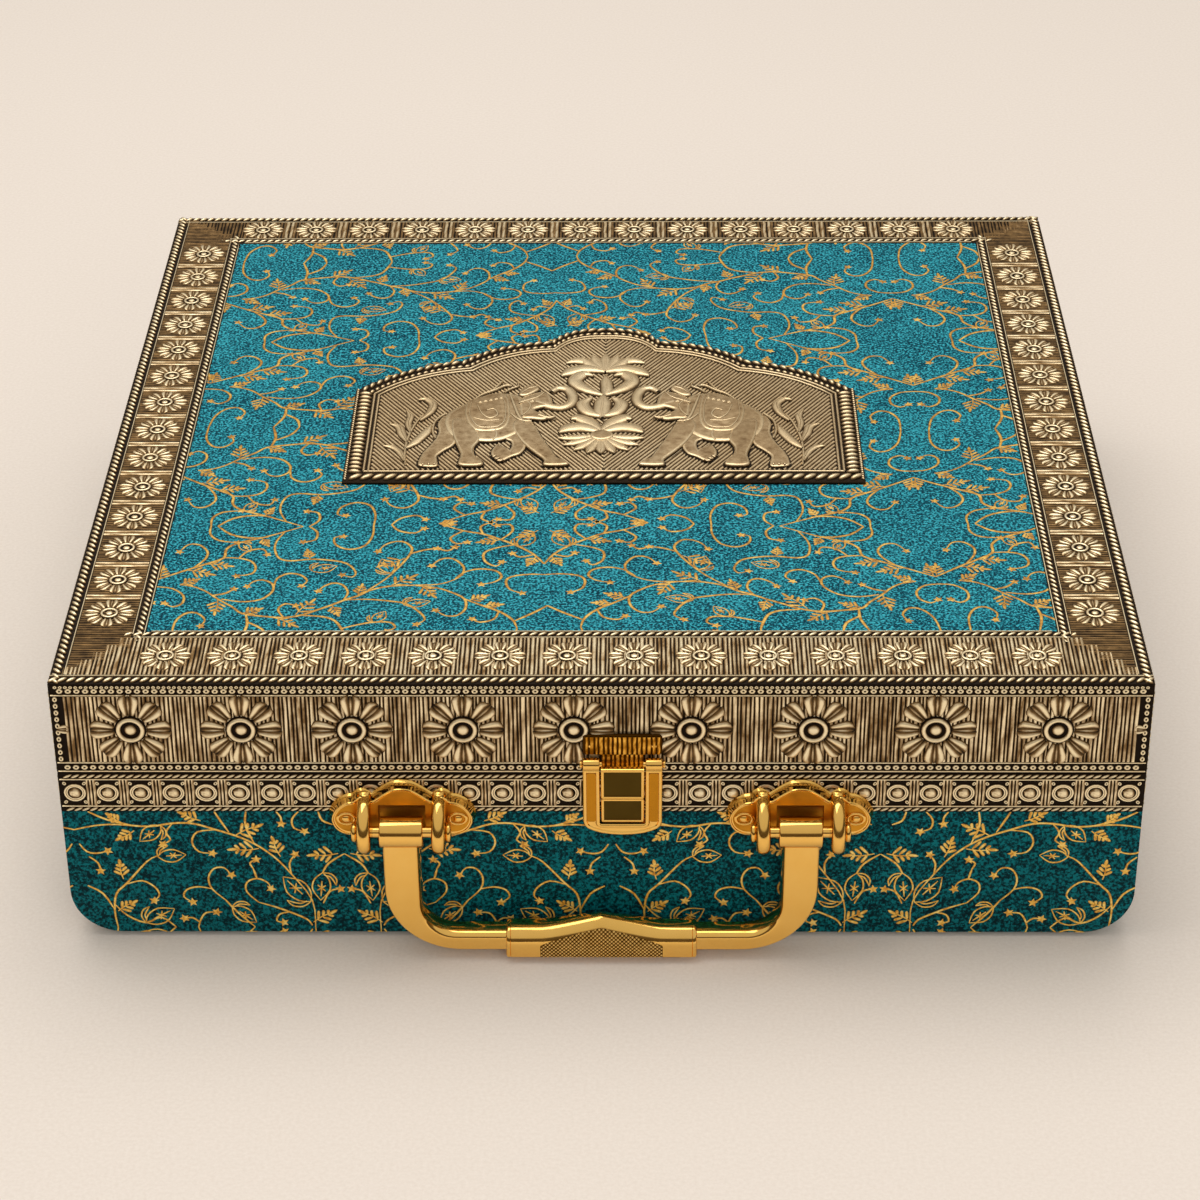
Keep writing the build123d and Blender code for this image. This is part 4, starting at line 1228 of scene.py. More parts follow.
pod = halved(ball("pod", 8, 6, 1, (1.0, 0.42, 0.5)))
mark_relief(pod)
smooth(pod, 80)
rim = []
bottom = [Vector((-plaque_half + 2.2, 2.7)), Vector((plaque_half - 2.2, 2.7))]
rim += follow(pod, bottom, 3.5, tilt=radians(38), size=(2.75, 2.5, 2.6))
for s in (-1, 1):
    side_line = [Vector((s * (plaque_half - 3.4), 4.6)), Vector((s * (plaque_half - 3.4), shoulder - 1.2))]
    rim += follow(pod, side_line, 2.5, tilt=radians(90 + 8 * s), size=(2.3, 2.3, 2.8))
    edge_line = [Vector((s * (plaque_half - 0.75), 1.0)), Vector((s * (plaque_half - 0.75), shoulder))]
    rim += follow(pod, edge_line, 1.3, tilt=radians(35), size=(0.75, 1.0, 1.5))
for inset, pitch, tilt, size in ((1.9, 3.0, 26, (1.9, 1.9, 2.6)), (4.6, 2.3, 18, (1.15, 1.6, 1.9))):
    line = arch(inset)
    middle_point = len(line) // 2
    rim += follow(pod, line[:middle_point + 1], pitch, radians(180 - tilt), size)
    rim += follow(pod, line[middle_point:], pitch, radians(180 + tilt), size)


def polyline_rib(name, line, width, rise):
    """A rib along a line with corners."""
    return band_along(name, line, width, rise, steps=1, ends=(1, 1))


for inset, rise in ((6.1, 0.75), (7.5, 0.65)):
    foot_x = plaque_half - inset
    frame_line = [Vector((foot_x, 6.0))] + arch(inset) + [Vector((-foot_x, 6.0))]
    rim.append(polyline_rib("inner_line", frame_line, 0.9, rise))
foot_x = plaque_half - 6
ground = [Vector(p) for p in ((-foot_x, 6.2), (0, 6.4), (foot_x, 6.2))]
rim.append(polyline_rib("ground_line", ground, 0.8, 0.6))
print("rim pieces", len(rim))

# %% Hatched field
field_inset = 8.2
hatch_pitch = 1.25
hatch_slope = radians(57)


def arch_height(x, line):
    """Height of an arch line over x."""
    for a, b in zip(line[:-1], line[1:]):
        if min(a.x, b.x) <= x <= max(a.x, b.x) and abs(b.x - a.x) > 1e-6:
            return a.y + (b.y - a.y) * (x - a.x) / (b.x - a.x)
    return shoulder - field_inset / 2


field_arch = arch(field_inset)
field_half = plaque_half - field_inset
field_foot = 7.2
hatching = []
reach = int((field_half + plaque_deep) / hatch_pitch)
for s in (-1, 1):
    way = Vector((cos(hatch_slope), s * sin(hatch_slope)))
    across = Vector((way.y, -way.x))
    origin = Vector((s * field_half / 2, 40))
    for k in range(-reach, reach):
        start = origin + across * k * hatch_pitch
        runs = [start + way * t / 3 for t in range(-270, 271)]
        inside = [p for p in runs if -0.35 <= s * p.x <= field_half
                  and field_foot <= p.y <= arch_height(p.x, field_arch)]
        if len(inside) > 1:
            hatching.append((inside[0], inside[-1]))
hatch = grid("hatch", 2, 1)
choose(hatch, lambda co: abs(co.x) < 0.1)
lift_up(1)
done()
mark_relief(hatch, 0.28)
for n, (a, b) in enumerate(hatching):
    piece = copy_of(hatch, "hatch_copy")
    middle, span = (a + b) / 2, b - a
    turn = atan2(span.y, span.x) - pi / 2
    rise = (0.36 + 0.06 * sin(2.7 * n)) * mm
    scale = Matrix.Diagonal((0.86 * hatch_pitch * mm, span.length * mm, rise, 1))
    piece.data.transform(Matrix.Rotation(turn, 4, "Z") @ scale)
    shift(piece, middle.x * mm, middle.y * mm)
    rim.append(piece)
print("hatch lines", len(hatching))

# %% [markdown]
# The elephant is built from the back forwards: far hind leg and raised foreleg lowest, then the body,
# the near legs, the head with its trunk curled up, and on top the saddle cloth with its rows of beads.
# The right elephant is the mirror image of the left one.

# %% Elephant
toe_pitch = 1.7


def toes(x, y, turn=0.0):
    step = Vector((cos(turn), sin(turn))) * toe_pitch
    return [placed(pod, (x + k * step.x) * mm, (y + k * step.y) * mm, turn=radians(90) + turn,
                   lift=1.0 * mm) for k in range(3)]


elephant = [
    raised("far_hind_leg", [
        (-49, 41), (-51.5, 36), (-51, 30), (-52.5, 23.5), (-55, 17.5), (-56.2, 11.5), (-55.5, 8.8),
        (-50.5, 8.4), (-50.4, 12), (-50.6, 15), (-48.5, 18.5), (-45.5, 23), (-45, 33)], 1.05),
    raised("raised_foreleg", [
        (-33, 31), (-30.5, 26), (-28.5, 24), (-28.5, 20), (-31, 21), (-32.4, 22.6), (-34, 19.5),
        (-34.2, 15.5), (-31.5, 11.5), (-28, 14.5), (-25.3, 16.5), (-23.8, 21), (-24.5, 26), (-26, 31)],
        1.05),
    raised("body", [
        (-49.5, 40), (-46.5, 45.5), (-42.5, 49), (-38, 51.8), (-34, 54.4), (-29.5, 55), (-26, 52.5),
        (-24.3, 45), (-23.6, 38), (-25.3, 31), (-29, 26.5), (-33, 24.2), (-38, 24), (-42.5, 26),
        (-46.5, 27), (-49, 32.5)], 1.35, edge=1.6),
    raised("near_hind_leg", [
        (-47, 38), (-47, 30), (-45.2, 22), (-43.6, 15.5), (-43.8, 9), (-37, 8.8), (-37, 12), (-39.2, 15.3),
        (-39.6, 20), (-38, 25), (-39.5, 32), (-43, 37)], 1.5),
    raised("stretched_foreleg", [
        (-28.5, 33), (-25.5, 24), (-21.8, 17.5), (-18.3, 12.3), (-18, 8.8), (-11, 9), (-11.6, 11.6),
        (-14, 13.4), (-15.8, 18), (-18.5, 25), (-21, 32.5), (-23.5, 38.5), (-27, 38)], 1.5),
    raised("head", [
        (-26.5, 51), (-23.5, 54), (-20, 56), (-17.3, 54), (-16.4, 50), (-16.6, 46.8), (-20, 45.5),
        (-21.6, 43.6), (-17.3, 39.8), (-18.8, 37.6), (-22.8, 38.2), (-25.6, 38.5), (-26.6, 44)], 1.55,
        edge=1.1),
    band_along("trunk", [
        (-21.5, 49.5), (-17.5, 47.2), (-13.7, 46), (-10.8, 48.5), (-10, 53), (-11.5, 57.8), (-14.6, 59),
        (-16.8, 56.4)], 4.0, 1.6, across=6, ends=(1.0, 0.62), foot=0.3),
    raised("ear", [(-27, 54), (-25.8, 58.4), (-22.5, 60.6), (-20.6, 58), (-22.4, 55.2), (-25, 53.2)], 1.6),
    band_along("ear_fold", [(-26, 54.6), (-24.2, 57.4), (-21.8, 58.6)], 0.7, 1.9, foot=1.4),
    band_along("tusk", [(-20.4, 40.4), (-17.4, 38.6), (-15.2, 39.4)], 1.3, 1.75, ends=(1, 0.3), foot=0.8),
    band_along("cheek_line", [(-25.4, 50.5), (-23.2, 47), (-23.8, 43), (-25.6, 39.6)], 0.8, 1.85, foot=1.3),
    band_along("bridle", [(-26.8, 48), (-24.5, 49.6), (-21, 52), (-19, 55)], 0.8, 1.85, foot=1.3),
    band_along("necklace", [(-29.6, 53.5), (-28, 46), (-26.6, 40), (-24.8, 35.5)], 1.3, 1.8, foot=1.2),
    band_along("breast_strap", [(-29, 41), (-26, 37), (-22.5, 36)], 1.0, 1.8, foot=1.2),
    band_along("tail", [
        (-49.5, 42), (-52.2, 37.5), (-52.8, 31), (-51.6, 26)], 0.9, 1.2, foot=0.3, ends=(1, 1.2)),
    raised("saddle_cloth", [
        (-43.2, 48.8), (-43.4, 40), (-40.6, 31.5), (-36.5, 29.8), (-31.4, 31.2), (-29.2, 36.5), (-29.4, 47),
        (-31, 54.2), (-35.5, 54.6), (-40, 51.5)], 1.6, edge=0.9),
    band_along("saddle_border", [
        (-41.6, 48.6), (-41.8, 40.4), (-39.4, 33.4), (-36.2, 31.9), (-32.4, 33), (-30.8, 37.5), (-31, 47),
        (-32.4, 52.6)], 0.7, 1.85, foot=1.45),
    band_along("saddle_scroll", [
        (-39.6, 46.6), (-38, 41), (-35.4, 38), (-33.2, 40.4), (-34.4, 44), (-36.6, 43)], 0.9, 1.9,
        foot=1.45),
    band_along("saddle_strap", [(-40.4, 38), (-36.4, 36.4), (-32.6, 36.8)], 0.7, 1.85, foot=1.45),
    band_along("girth", [(-33.5, 31), (-33, 27.5), (-34, 24.6)], 1.1, 1.55, foot=1.1),
    band_along("howdah_rail", [
        (-41, 50.6), (-38.4, 54.8), (-34.8, 57.6), (-31.6, 60.6), (-29.4, 60.4)], 1.0, 1.3, foot=0.3),
    band_along("howdah_back", [(-36.6, 55.4), (-34, 60.2), (-32.4, 64)], 0.8, 1.2, foot=0.3),
    band_along("howdah_front", [
        (-31.6, 56), (-29.6, 58.6), (-27.4, 60.4), (-27.6, 63)], 0.8, 1.2, foot=0.3),
    placed(bead, -22.7 * mm, 49 * mm, lift=1.3 * mm, size=0.95),
]
elephant += toes(-54.6, 9.6) + toes(-42.6, 9.6) + toes(-16, 9.8) + toes(-33.2, 14.2, radians(-50))
for k in range(5):
    elephant.append(placed(bead, (-38.8 + 1.6 * k) * mm, (48.4 + 0.7 * k) * mm, lift=1.35 * mm, size=0.8))
    elephant.append(placed(bead, (-40.2 + 2.1 * k) * mm, (34.6 - 0.4 * k * (1 - k / 4)) * mm, lift=1.3 * mm,
                           size=0.55))
left_elephant = join("elephant", elephant)
print("elephant faces", faces(left_elephant))

# %% [markdown]
# Behind each elephant stands a leafy sprig, and between them rises the flower column: an open lotus
# below, a bud between two scrolled leaves, and a fan of petals at the top.

# %% Sprig
def leaf(name, points, width, rise):
    """A pointed leaf along a line, with a middle vein."""
    blade = band_along(name, points, width, rise, across=6, ends=(0.25, 0.08), foot=0.3)
    vein = band_along(name + "_vein", points, 0.22 * width, rise + 0.12, across=2, ends=(0.6, 0.2),
                      foot=rise - 0.15)
    return [blade, vein]


sprig = [band_along("sprig_stem", [(-60, 9.5), (-60.6, 18), (-60.2, 27), (-58.4, 36), (-56.2, 42)], 1.0, 0.9,
                    foot=0.2)]
sprig += leaf("sprig_leaf", [(-57.2, 37.5), (-54.4, 43), (-53.6, 48.5), (-56, 52), (-58.6, 51)], 3.2, 1.2)
sprig += leaf("sprig_leaf", [(-60.4, 12), (-62, 17.5), (-64.6, 21), (-67.4, 21.4)], 2.6, 1.0)
sprig += leaf("sprig_leaf", [(-60.4, 20), (-57.6, 24.5), (-55, 30), (-53.4, 35)], 3.6, 1.1)
sprig += leaf("sprig_leaf", [(-60.4, 24), (-62.2, 29.5), (-63.4, 34), (-66.4, 35.4)], 3.2, 1.1)
sprig += leaf("sprig_leaf", [(-59.6, 30), (-60.6, 36), (-60.2, 41), (-61.8, 45)], 2.6, 1.0)
left_sprig = join("sprig", sprig)
print("sprig faces", faces(left_sprig))

# %% Flower column
lotus_x, lotus_y = -1, 28
column = []
for k in range(9):
    angle = radians(-172 + 20.5 * k)
    reach = 11.5 + 1.8 * abs(cos(angle))
    tip = (lotus_x + reach * cos(angle), lotus_y + reach * sin(angle))
    mid = (lotus_x + 0.55 * reach * cos(angle), lotus_y + 0.55 * reach * sin(angle))
    column += leaf("lotus_petal", [(lotus_x, 27.5), mid, tip], 3.6, 1.15)
pairs = [
    ("lotus_wing", -1, [(0, 30), (5, 33.5), (10, 33), (13, 29.5)], 6.4, 1.3),
    ("lotus_inner", -1, [(0, 31), (3.4, 36.5), (7.4, 39.5), (9.4, 38)], 5.6, 1.3),
    ("bud_leaf", -0.8, [(0, 40), (4.4, 43.6), (6, 49), (3, 52.5)], 5.2, 1.35),
    ("scroll_leaf", -0.5, [(0, 54), (5.6, 58.5), (9, 64), (6.5, 69), (3.2, 67)], 5.6, 1.4),
    ("crown_leaf", 0, [(0, 70), (5, 72.6), (10.5, 71), (14, 67)], 6.2, 1.4),
    ("crown_tip", 0, [(0, 71), (4.2, 76.4), (9, 78.4), (12.6, 76)], 5.0, 1.2),
]
for s in (-1, 1):
    for name, middle, points, width, rise in pairs:
        column += leaf(name, [(middle + s * x, y) for x, y in points], width, rise)
column.append(raised("lotus_heart", [(-4, 26), (-1, 24.4), (2.4, 26), (2.6, 29), (-1, 31), (-4.2, 29)], 1.55))
column += leaf("bud", [(-0.6, 39), (-0.9, 44), (-0.6, 49.5), (-0.5, 54)], 6.2, 1.5)
column += leaf("stem_bud", [(-0.4, 53.5), (0.6, 58), (0.4, 63), (0, 67.5)], 4.6, 1.5)
for k in range(5):
    angle = radians(50 + 20 * k)
    across, up_way = cos(angle), sin(angle)
    mid, tip = (6.5 * across, 70 + 6.5 * up_way), (12 * across, 70 + 12.5 * up_way)
    column += leaf("fan_petal", [(0, 70), mid, tip], 4.6, 1.35)
flower_column = join("flower_column", column)
print("column faces", faces(flower_column))

# %% Put the plaque together
right_elephant = placed(left_elephant, 0, 0, flip=True)
right_sprig = placed(left_sprig, 0, 0, flip=True)
dressed = join("plaque_relief", [plate] + rim + [left_elephant, right_elephant, left_sprig, right_sprig,
                                               flower_column])
room = plaque_high.z - plaque_low.z - field_height * mm
tallest = max(v.co.z for v in dressed.data.vertices)
for v in dressed.data.vertices:
    if v.co.z > 0:
        v.co.z *= min(1.0, room / tallest)
print("figures' height mm", round(tallest / mm, 2), "room", round(room / mm, 2))
shift(dressed, y=plaque_low.y, z=plaque_low.z + field_height * mm)
wear(dressed, plaque_brass)
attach(dressed, "lid")
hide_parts("plaque")
drop(hatch, pod)
print("plaque faces", faces(dressed))

# %% [markdown]
# ## Printed vines
# The cloth is printed with gold vines: long stems, curled tendrils that end in small star flowers,
# fern shoots, and almond leaves with crescents. A repeat of 75 by 40 mm was drawn from the left end of
# the front. Each stroke is a thin ribbon a tenth of a millimetre high; its middle is gold and its edges
# dark, read from the relief attribute. The repeat is mirrored from tile to tile so the stems join, and
# the whole sheet is then swayed gently, so no two places look the same.

# %% Strokes of one repeat
print_rise = 0.11
stems = [
    [(0, 33.8), (6, 35.2), (12, 35.6), (21, 34.9), (27.6, 36), (33.3, 35.9), (39.5, 33.8), (44.8, 31.8),
     (50, 29), (55.2, 24.6), (59.5, 19), (65.2, 9.5), (65.7, 0)], [(4.3, 40), (9.5, 37.2), (17.6, 34.9)],
    [(39.5, 40), (41, 36.9), (43.1, 33)], [(48.3, 40), (47.9, 35.2), (50, 29)],
    [(9.5, 0), (9, 5.6), (10, 11.7), (13.3, 15.4), (19.5, 22.9), (23, 25)],
    [(2.1, 14.5), (6.2, 11.7), (9, 6.1)], [(64.8, 0.6), (63.3, 2.8), (58.6, 5.3), (54.8, 7), (50, 8.7)],
    [(50, 17), (49.2, 20.4)], [(68.6, 19), (70.5, 22.3), (75, 25.6)],
    [(68.4, 40), (69.4, 37), (72.2, 35.6)], [(40.7, 9.5), (44, 5), (48.5, 0)],
    [(26, 0), (22, 3.4), (17.5, 1.5), (12.5, 4), (9.2, 8)],
]
tendrils = [
    [(39.5, 33.8), (34.3, 33), (32.6, 29.6), (34.3, 26.3), (38.1, 25.7)],
    [(59.8, 18.7), (59.5, 22.3), (61.2, 25.4)],
    [(13.3, 15.1), (17.6, 16.2), (21, 14), (22.1, 11.2), (20.5, 9.2)],
    [(1, 29), (2.9, 26.3), (5.7, 25.7), (8.8, 26.5)], [(3.3, 24.6), (5.7, 22.3), (6.2, 19.6)],
    [(40.7, 9.5), (37.1, 13.4), (36.4, 17.3), (38.1, 20.4), (41, 20.7), (42.9, 18.2)],
    [(37.1, 13.4), (33.3, 14.1), (30, 13.1), (29, 10.6), (31.4, 8.7)],
    [(50, 8.7), (46.9, 12.3), (47.1, 15.6), (50, 17), (52.9, 15.6), (53.8, 13.4)],
    [(58.6, 5.3), (55.7, 4.5), (54.8, 2.2), (56.8, 1.6)], [(32.4, 0), (33.3, 2.8), (34.9, 5), (38, 5.2)],
    [(32.9, 1.6), (31, 3.2), (28.6, 3)], [(56.7, 40), (57.9, 38), (57.9, 35.8)],
    [(62.9, 40), (61, 37.4), (61.4, 34.4), (64.3, 33.2)], [(49.2, 20.4), (48.4, 22.4), (50.2, 23.6)],
    [(27.6, 36), (25.6, 33), (26.6, 30.4), (24.4, 28.8)], [(68.3, 8.4), (70.4, 12.6), (73.4, 13.4)],
]
leaves = [
    ((24.3, 35.2), (18, 29.8)), ((22.6, 24.6), (30.6, 25.2)), ((64.8, 8.9), (57.4, 17.6)),
    ((68.6, 19), (67.6, 9.4)), ((17.5, 1.5), (26, 6.4)), ((42.4, 7.2), (49, 1.6)),
]
ferns = [
    ((51.2, 27.4), (42.6, 27)), ((57.1, 24.6), (55, 31.4)), ((12.4, 16.8), (11.7, 23.4)),
    ((10, 5.6), (15.6, 9.2)), ((13.3, 36.3), (9.3, 39.4)), ((16.7, 33.5), (11.4, 30.2)),
    ((35.5, 36.9), (29.4, 39.9)), ((65.2, 1.7), (71.8, 5.8)), ((73.3, 25.7), (64.8, 25)),
    ((44.8, 31.8), (52.6, 35.6)),
]
print("strokes", len(stems) + len(tendrils) + 3 * len(leaves) + len(ferns))

# %% Small printed motifs
def printed(points, width, steps=3, ends=(0.7, 0.5)):
    """One printed stroke."""
    return band_along("stroke", points, width, print_rise, across=2, steps=steps, ends=ends, foot=0.02,
                      low=0.0)


def turned(points, base, tip):
    """Points drawn along X, from 0 to 1, laid from base to tip."""
    base, tip = Vector(base), Vector(tip)
    way = tip - base
    return [base + way * x + Vector((-way.y, way.x)) * y for x, y in points]


def printed_leaf(base, tip):
    """An almond leaf: two edges, a small star inside and a double crescent beside it."""
    shapes = [[(0, 0), (0.22, 0.2), (0.6, 0.25), (1, 0)], [(0, 0), (0.25, -0.22), (0.62, -0.26), (1, 0)],
              [(0.3, 0), (0.85, 0)], [(0.45, -0.12), (0.65, 0.12)], [(0.45, 0.12), (0.65, -0.12)],
              [(0, 0.02), (0.02, 0.25), (0.2, 0.42), (0.42, 0.42)],
              [(0.08, 0.06), (0.12, 0.22), (0.25, 0.33), (0.42, 0.42)]]
    return [printed(turned(shape, base, tip), width=0.6) for shape in shapes]


def printed_fern(base, tip):
    """A shoot with three pairs of leaflets and one at its end."""
    parts = [printed(turned([(0, 0), (0.4, 0.05), (0.8, 0)], base, tip), width=0.55)]
    for run in (0.2, 0.42, 0.64):
        reach = 0.3 * (1.15 - run)
        for s in (-1, 1):
            leaflet = [(run, 0), (run + 0.6 * reach, s * 0.75 * reach), (run + 0.9 * reach, s * 1.15 * reach)]
            parts.append(printed(turned(leaflet, base, tip), width=1.15, steps=2, ends=(0.35, 0.3)))
    end_leaflet = turned([(0.72, 0), (0.86, 0), (1.05, 0)], base, tip)
    return parts + [printed(end_leaflet, width=1.3, steps=2, ends=(0.4, 0.2))]


def printed_star(at, turn):
    """A five-pointed flower, a filled outline with its middle raised."""
    outline = []
    for k in range(10):
        angle, reach = turn + k * pi / 5, (1.6 if k % 2 == 0 else 0.75)
        outline.append(Vector(at) + Vector((cos(angle), sin(angle))) * reach)
    star = flat_shape("star", outline, 0.02 * mm)
    edit(star, "FACE")
    step_in(0.24, 0.09)
    done()
    layer = relief_of(star)
    for v in star.data.vertices:
        layer.data[v.index].value = 1.0 if v.co.z > 0.06 * mm else 0.25
    return star


def vine_tile(name, stem_lines, curls, leaf_list, shoots, weight):
    """One repeat; weight is the width of its stems."""
    strokes = [printed(line, weight) for line in stem_lines]
    strokes += [printed(line, 0.9 * weight) for line in curls]
    for n, line in enumerate(curls):
        strokes.append(printed_star(line[-1], 0.7 * n))
    for base, tip in leaf_list:
        strokes += printed_leaf(base, tip)
    for base, tip in shoots:
        strokes += printed_fern(base, tip)
    return join(name, strokes)


front_size = (75 * mm, 40 * mm)
front_tile = vine_tile("front_tile", stems, tendrils, leaves, ferns, 0.8)
print("faces in the front's repeat", faces(front_tile))

# %% [markdown]
# The lid's print is larger: long scrolls with open curls, drawn from the front left corner of the lid
# as a repeat of 111 by 60 mm.

# %% Strokes of the lid's repeat
top_size = (111.2 * mm, 60 * mm)
scrolls = [
    [(6.4, 27.7), (10.6, 26.7), (14.2, 24.4), (17.7, 20.5), (22, 16.4), (24.8, 13), (30.5, 11.6),
     (36.9, 10.7), (42.6, 12), (46.8, 14.4), (51, 16.7), (55.3, 19.5), (58.9, 21.2), (62.4, 24),
     (68, 25.8), (75.2, 25.8), (81.6, 25.8), (86.2, 28), (88.7, 30.8)],
    [(0, 30.1), (4.3, 32.9), (8.5, 35.6), (14.2, 39), (19.5, 42.5), (20.2, 47.3), (23.4, 50.7),
     (30.5, 53.7), (35.5, 56.2), (42.6, 60)], [(17, 60), (21.3, 55.5), (27, 53.7), (32.6, 54.2)],
    [(111.2, 35.6), (108.5, 41.1), (104.3, 45.9), (99.3, 50), (94.3, 53.4), (88.7, 55.5), (81.6, 60)],
    [(88.7, 17.1), (93.6, 13), (97.9, 9.6), (101.4, 4.8), (102.6, 0)], [(111.2, 12), (107, 8), (102, 4)],
    [(25.9, 12.3), (26.2, 6.8), (24.2, 0)], [(26.4, 8.5), (30.5, 4.8), (32, 0)],
    [(42.6, 11.6), (48.2, 10.7), (51.8, 8.2), (53.9, 2.7), (54.5, 0)],
]
open_curls = [
    [(55.3, 19.2), (61, 19.2), (67.4, 17.8), (72.3, 15.8), (75.9, 11), (77.3, 6.8), (74.8, 4.4)],
    [(61.7, 24), (66.7, 29.5), (70.9, 36.3), (73.8, 42.5), (74.5, 46.6), (72.3, 50), (69.5, 50.4),
     (66.7, 48.6), (64.9, 45.2)], [(73.9, 43.2), (78, 45.2), (81.6, 45.9)],
    [(18.8, 20.5), (24.8, 19.2), (30.5, 20.5), (34, 24.7), (34, 28.8), (31.2, 30.8), (28.4, 29.9),
     (26.6, 27.4)], [(16.3, 22.4), (20, 23.6), (22.6, 26)],
    [(34.3, 26), (35.5, 31.5), (39, 34.2), (42.6, 33.2), (44.3, 30.1), (42.6, 27.4)],
    [(54.6, 19.2), (56, 23.3), (54.6, 27.4), (51.8, 28.5), (48.9, 26.7), (47.5, 24.4)],
    [(10.6, 37), (12.6, 39.6), (14.2, 42.5), (14.5, 45.9), (12, 49.3), (8.5, 49.3), (6, 45.2)],
    [(19.5, 42.7), (24.1, 42.5), (27.7, 41), (29.2, 37.7), (28, 34.2), (23.4, 32.9)],
    [(14.9, 60), (14.9, 55.5), (17.7, 52.1), (23.4, 51)],
    [(37.2, 56.8), (35.2, 52), (34.8, 47.3), (36.2, 42.5), (39.7, 41.1), (45.4, 41.8), (51, 41.1),
     (56, 39), (58.5, 34.2), (57.4, 31.5), (54.6, 32.9)],
    [(63.1, 60), (63.1, 54.1), (61, 48.6), (56.7, 46.8), (52.8, 49.3), (52.1, 53.4), (54.6, 54.1)],
    [(88.4, 30.3), (89, 34.9), (86.2, 39.7), (82.6, 39.7), (80.1, 36.3)],
    [(86.5, 28.6), (89.4, 32.2), (93.6, 33.6), (97.9, 32.2), (99.3, 28.8), (97.2, 26), (93.6, 24.9)],
    [(75.2, 25.6), (80.9, 24), (85.1, 21.2), (88.7, 17.1), (88.7, 11.6), (86.2, 8.2), (83, 8.5),
     (80.5, 11.6)],
    [(111.2, 29.5), (107.1, 29.9), (102.1, 28.8), (100.4, 26), (101.4, 21.5), (104.6, 19.4)],
    [(102.8, 46.8), (97.9, 45.2), (94.7, 42.5), (95, 37.7), (97.9, 34.9), (99.6, 37.3)],
    [(4.3, 0), (5, 7.5), (7.8, 12.3), (11.3, 13), (13.8, 9.6), (12.6, 6.2)],
    [(0, 26), (4.3, 25.3), (7.4, 21.9), (7.1, 17.8), (4.3, 15.8), (1.8, 17.6)],
    [(53.6, 4), (58, 5.6), (62.4, 6.6), (67.4, 6.2), (68.8, 3.2), (66.4, 1.6)],
    [(36.9, 10.7), (35.4, 15), (37.6, 18), (40.6, 17)], [(97.9, 9.6), (96.4, 5.4), (92.6, 4), (90.4, 6)],
    [(88.7, 55.5), (85.2, 51.6), (87, 48.2), (90, 49)], [(44.4, 60), (47, 56.6), (46.4, 52.4), (43, 51.4)],
    [(108.5, 41.1), (104.6, 39.8), (102.6, 42)], [(68.2, 60), (70.6, 56.4), (75, 55), (77.6, 57.4)],
    [(99.3, 50), (102.4, 54.6), (101.6, 58.6), (98, 58.2)], [(94.3, 53.4), (93.4, 57.6), (96.2, 60)],
    [(24.1, 42.5), (27, 46.6), (31.2, 47.6), (32.6, 44.6)], [(81.6, 45.9), (84.6, 44.4), (86.6, 46.4)],
]
big_leaves = [
    ((45.6, 35.6), (53.2, 37.8)), ((68.6, 33), (66, 41)), ((71.6, 15.4), (79.2, 16.6)),
    ((104.3, 45.9), (108.6, 53)), ((24.2, 51.2), (27.6, 46)), ((62.6, 6.6), (66.4, 12.2)),
]
sprays = [
    ((8.6, 35.4), (17, 33.2)), ((40.4, 12), (46.4, 20.2)), ((68, 25.6), (76, 31.6)),
    ((34, 10.8), (41, 5.6)), ((76.6, 25.6), (80.8, 18.4)), ((89.6, 16), (95.6, 18.8)),
    ((17.6, 20.6), (16.6, 12)), ((45.4, 41.8), (44.4, 47.4)), ((99.3, 50), (92.4, 48.6)),
    ((14.2, 39), (22.6, 38)), ((6.6, 27.6), (12.4, 31)), ((30.5, 53.7), (33, 49)),
    ((93.6, 13), (99.4, 13.4)), ((58.9, 21.2), (60.4, 27.6)), ((51, 16.7), (53, 10.6)),
    ((109.6, 55), (103.6, 51)), ((72.6, 41), (64.6, 36.6)), ((24.8, 13), (31, 15.8)),
    ((0.6, 30.6), (1.4, 37.6)), ((81.6, 60), (86.6, 59)), ((109, 40), (106.4, 34.6)),
]
top_tile = vine_tile("top_tile", scrolls, open_curls, big_leaves, sprays, 1.1)
print("faces in the lid's repeat", faces(top_tile))

# %% Lay the repeats out
spare = 30 * mm


def repeats(low, high, start, length):
    """Which repeats along one direction reach the field, with some to spare for the sway."""
    return range(math.floor((low - start - spare) / length), math.ceil((high - start + spare) / length))


def vine_field(name, tile, size, low, high, start, sway):
    """Mirrored repeats over a flat field, swayed and cut to it; low and high are its corners."""
    parts = []
    tile_wide, tile_high = size
    for column in repeats(low[0], high[0], start[0], tile_wide):
        for row in repeats(low[1], high[1], start[1], tile_high):
            piece = copy_of(tile, "tile_copy")
            across, up_way = (-1 if column % 2 else 1), (-1 if row % 2 else 1)
            corner_x = start[0] + tile_wide * (column + (1 if across < 0 else 0))
            corner_y = start[1] + tile_high * (row + (1 if up_way < 0 else 0))
            mirror = Matrix.Diagonal((across, up_way, 1, 1))
            piece.data.transform(Matrix.Translation((corner_x, corner_y, 0)) @ mirror)
            if across * up_way < 0:
                piece.data.flip_normals()
            parts.append(piece)
    field = join(name, parts)
    for v in field.data.vertices:
        x, y = v.co.x / mm, v.co.y / mm
        v.co.x += sway * (sin(y / 27 + 0.6) + 0.6 * sin(x / 33 + y / 50 + 2.1))
        v.co.y += sway * (0.9 * sin(x / 30 + 1.9) + 0.6 * sin(y / 37 - x / 55))
    for point, normal in (((low[0], 0, 0), (-1, 0, 0)), ((high[0], 0, 0), (1, 0, 0)),
                          ((0, low[1], 0), (0, -1, 0)), ((0, high[1], 0), (0, 1, 0))):
        cut_away(field, point, normal)
    return field


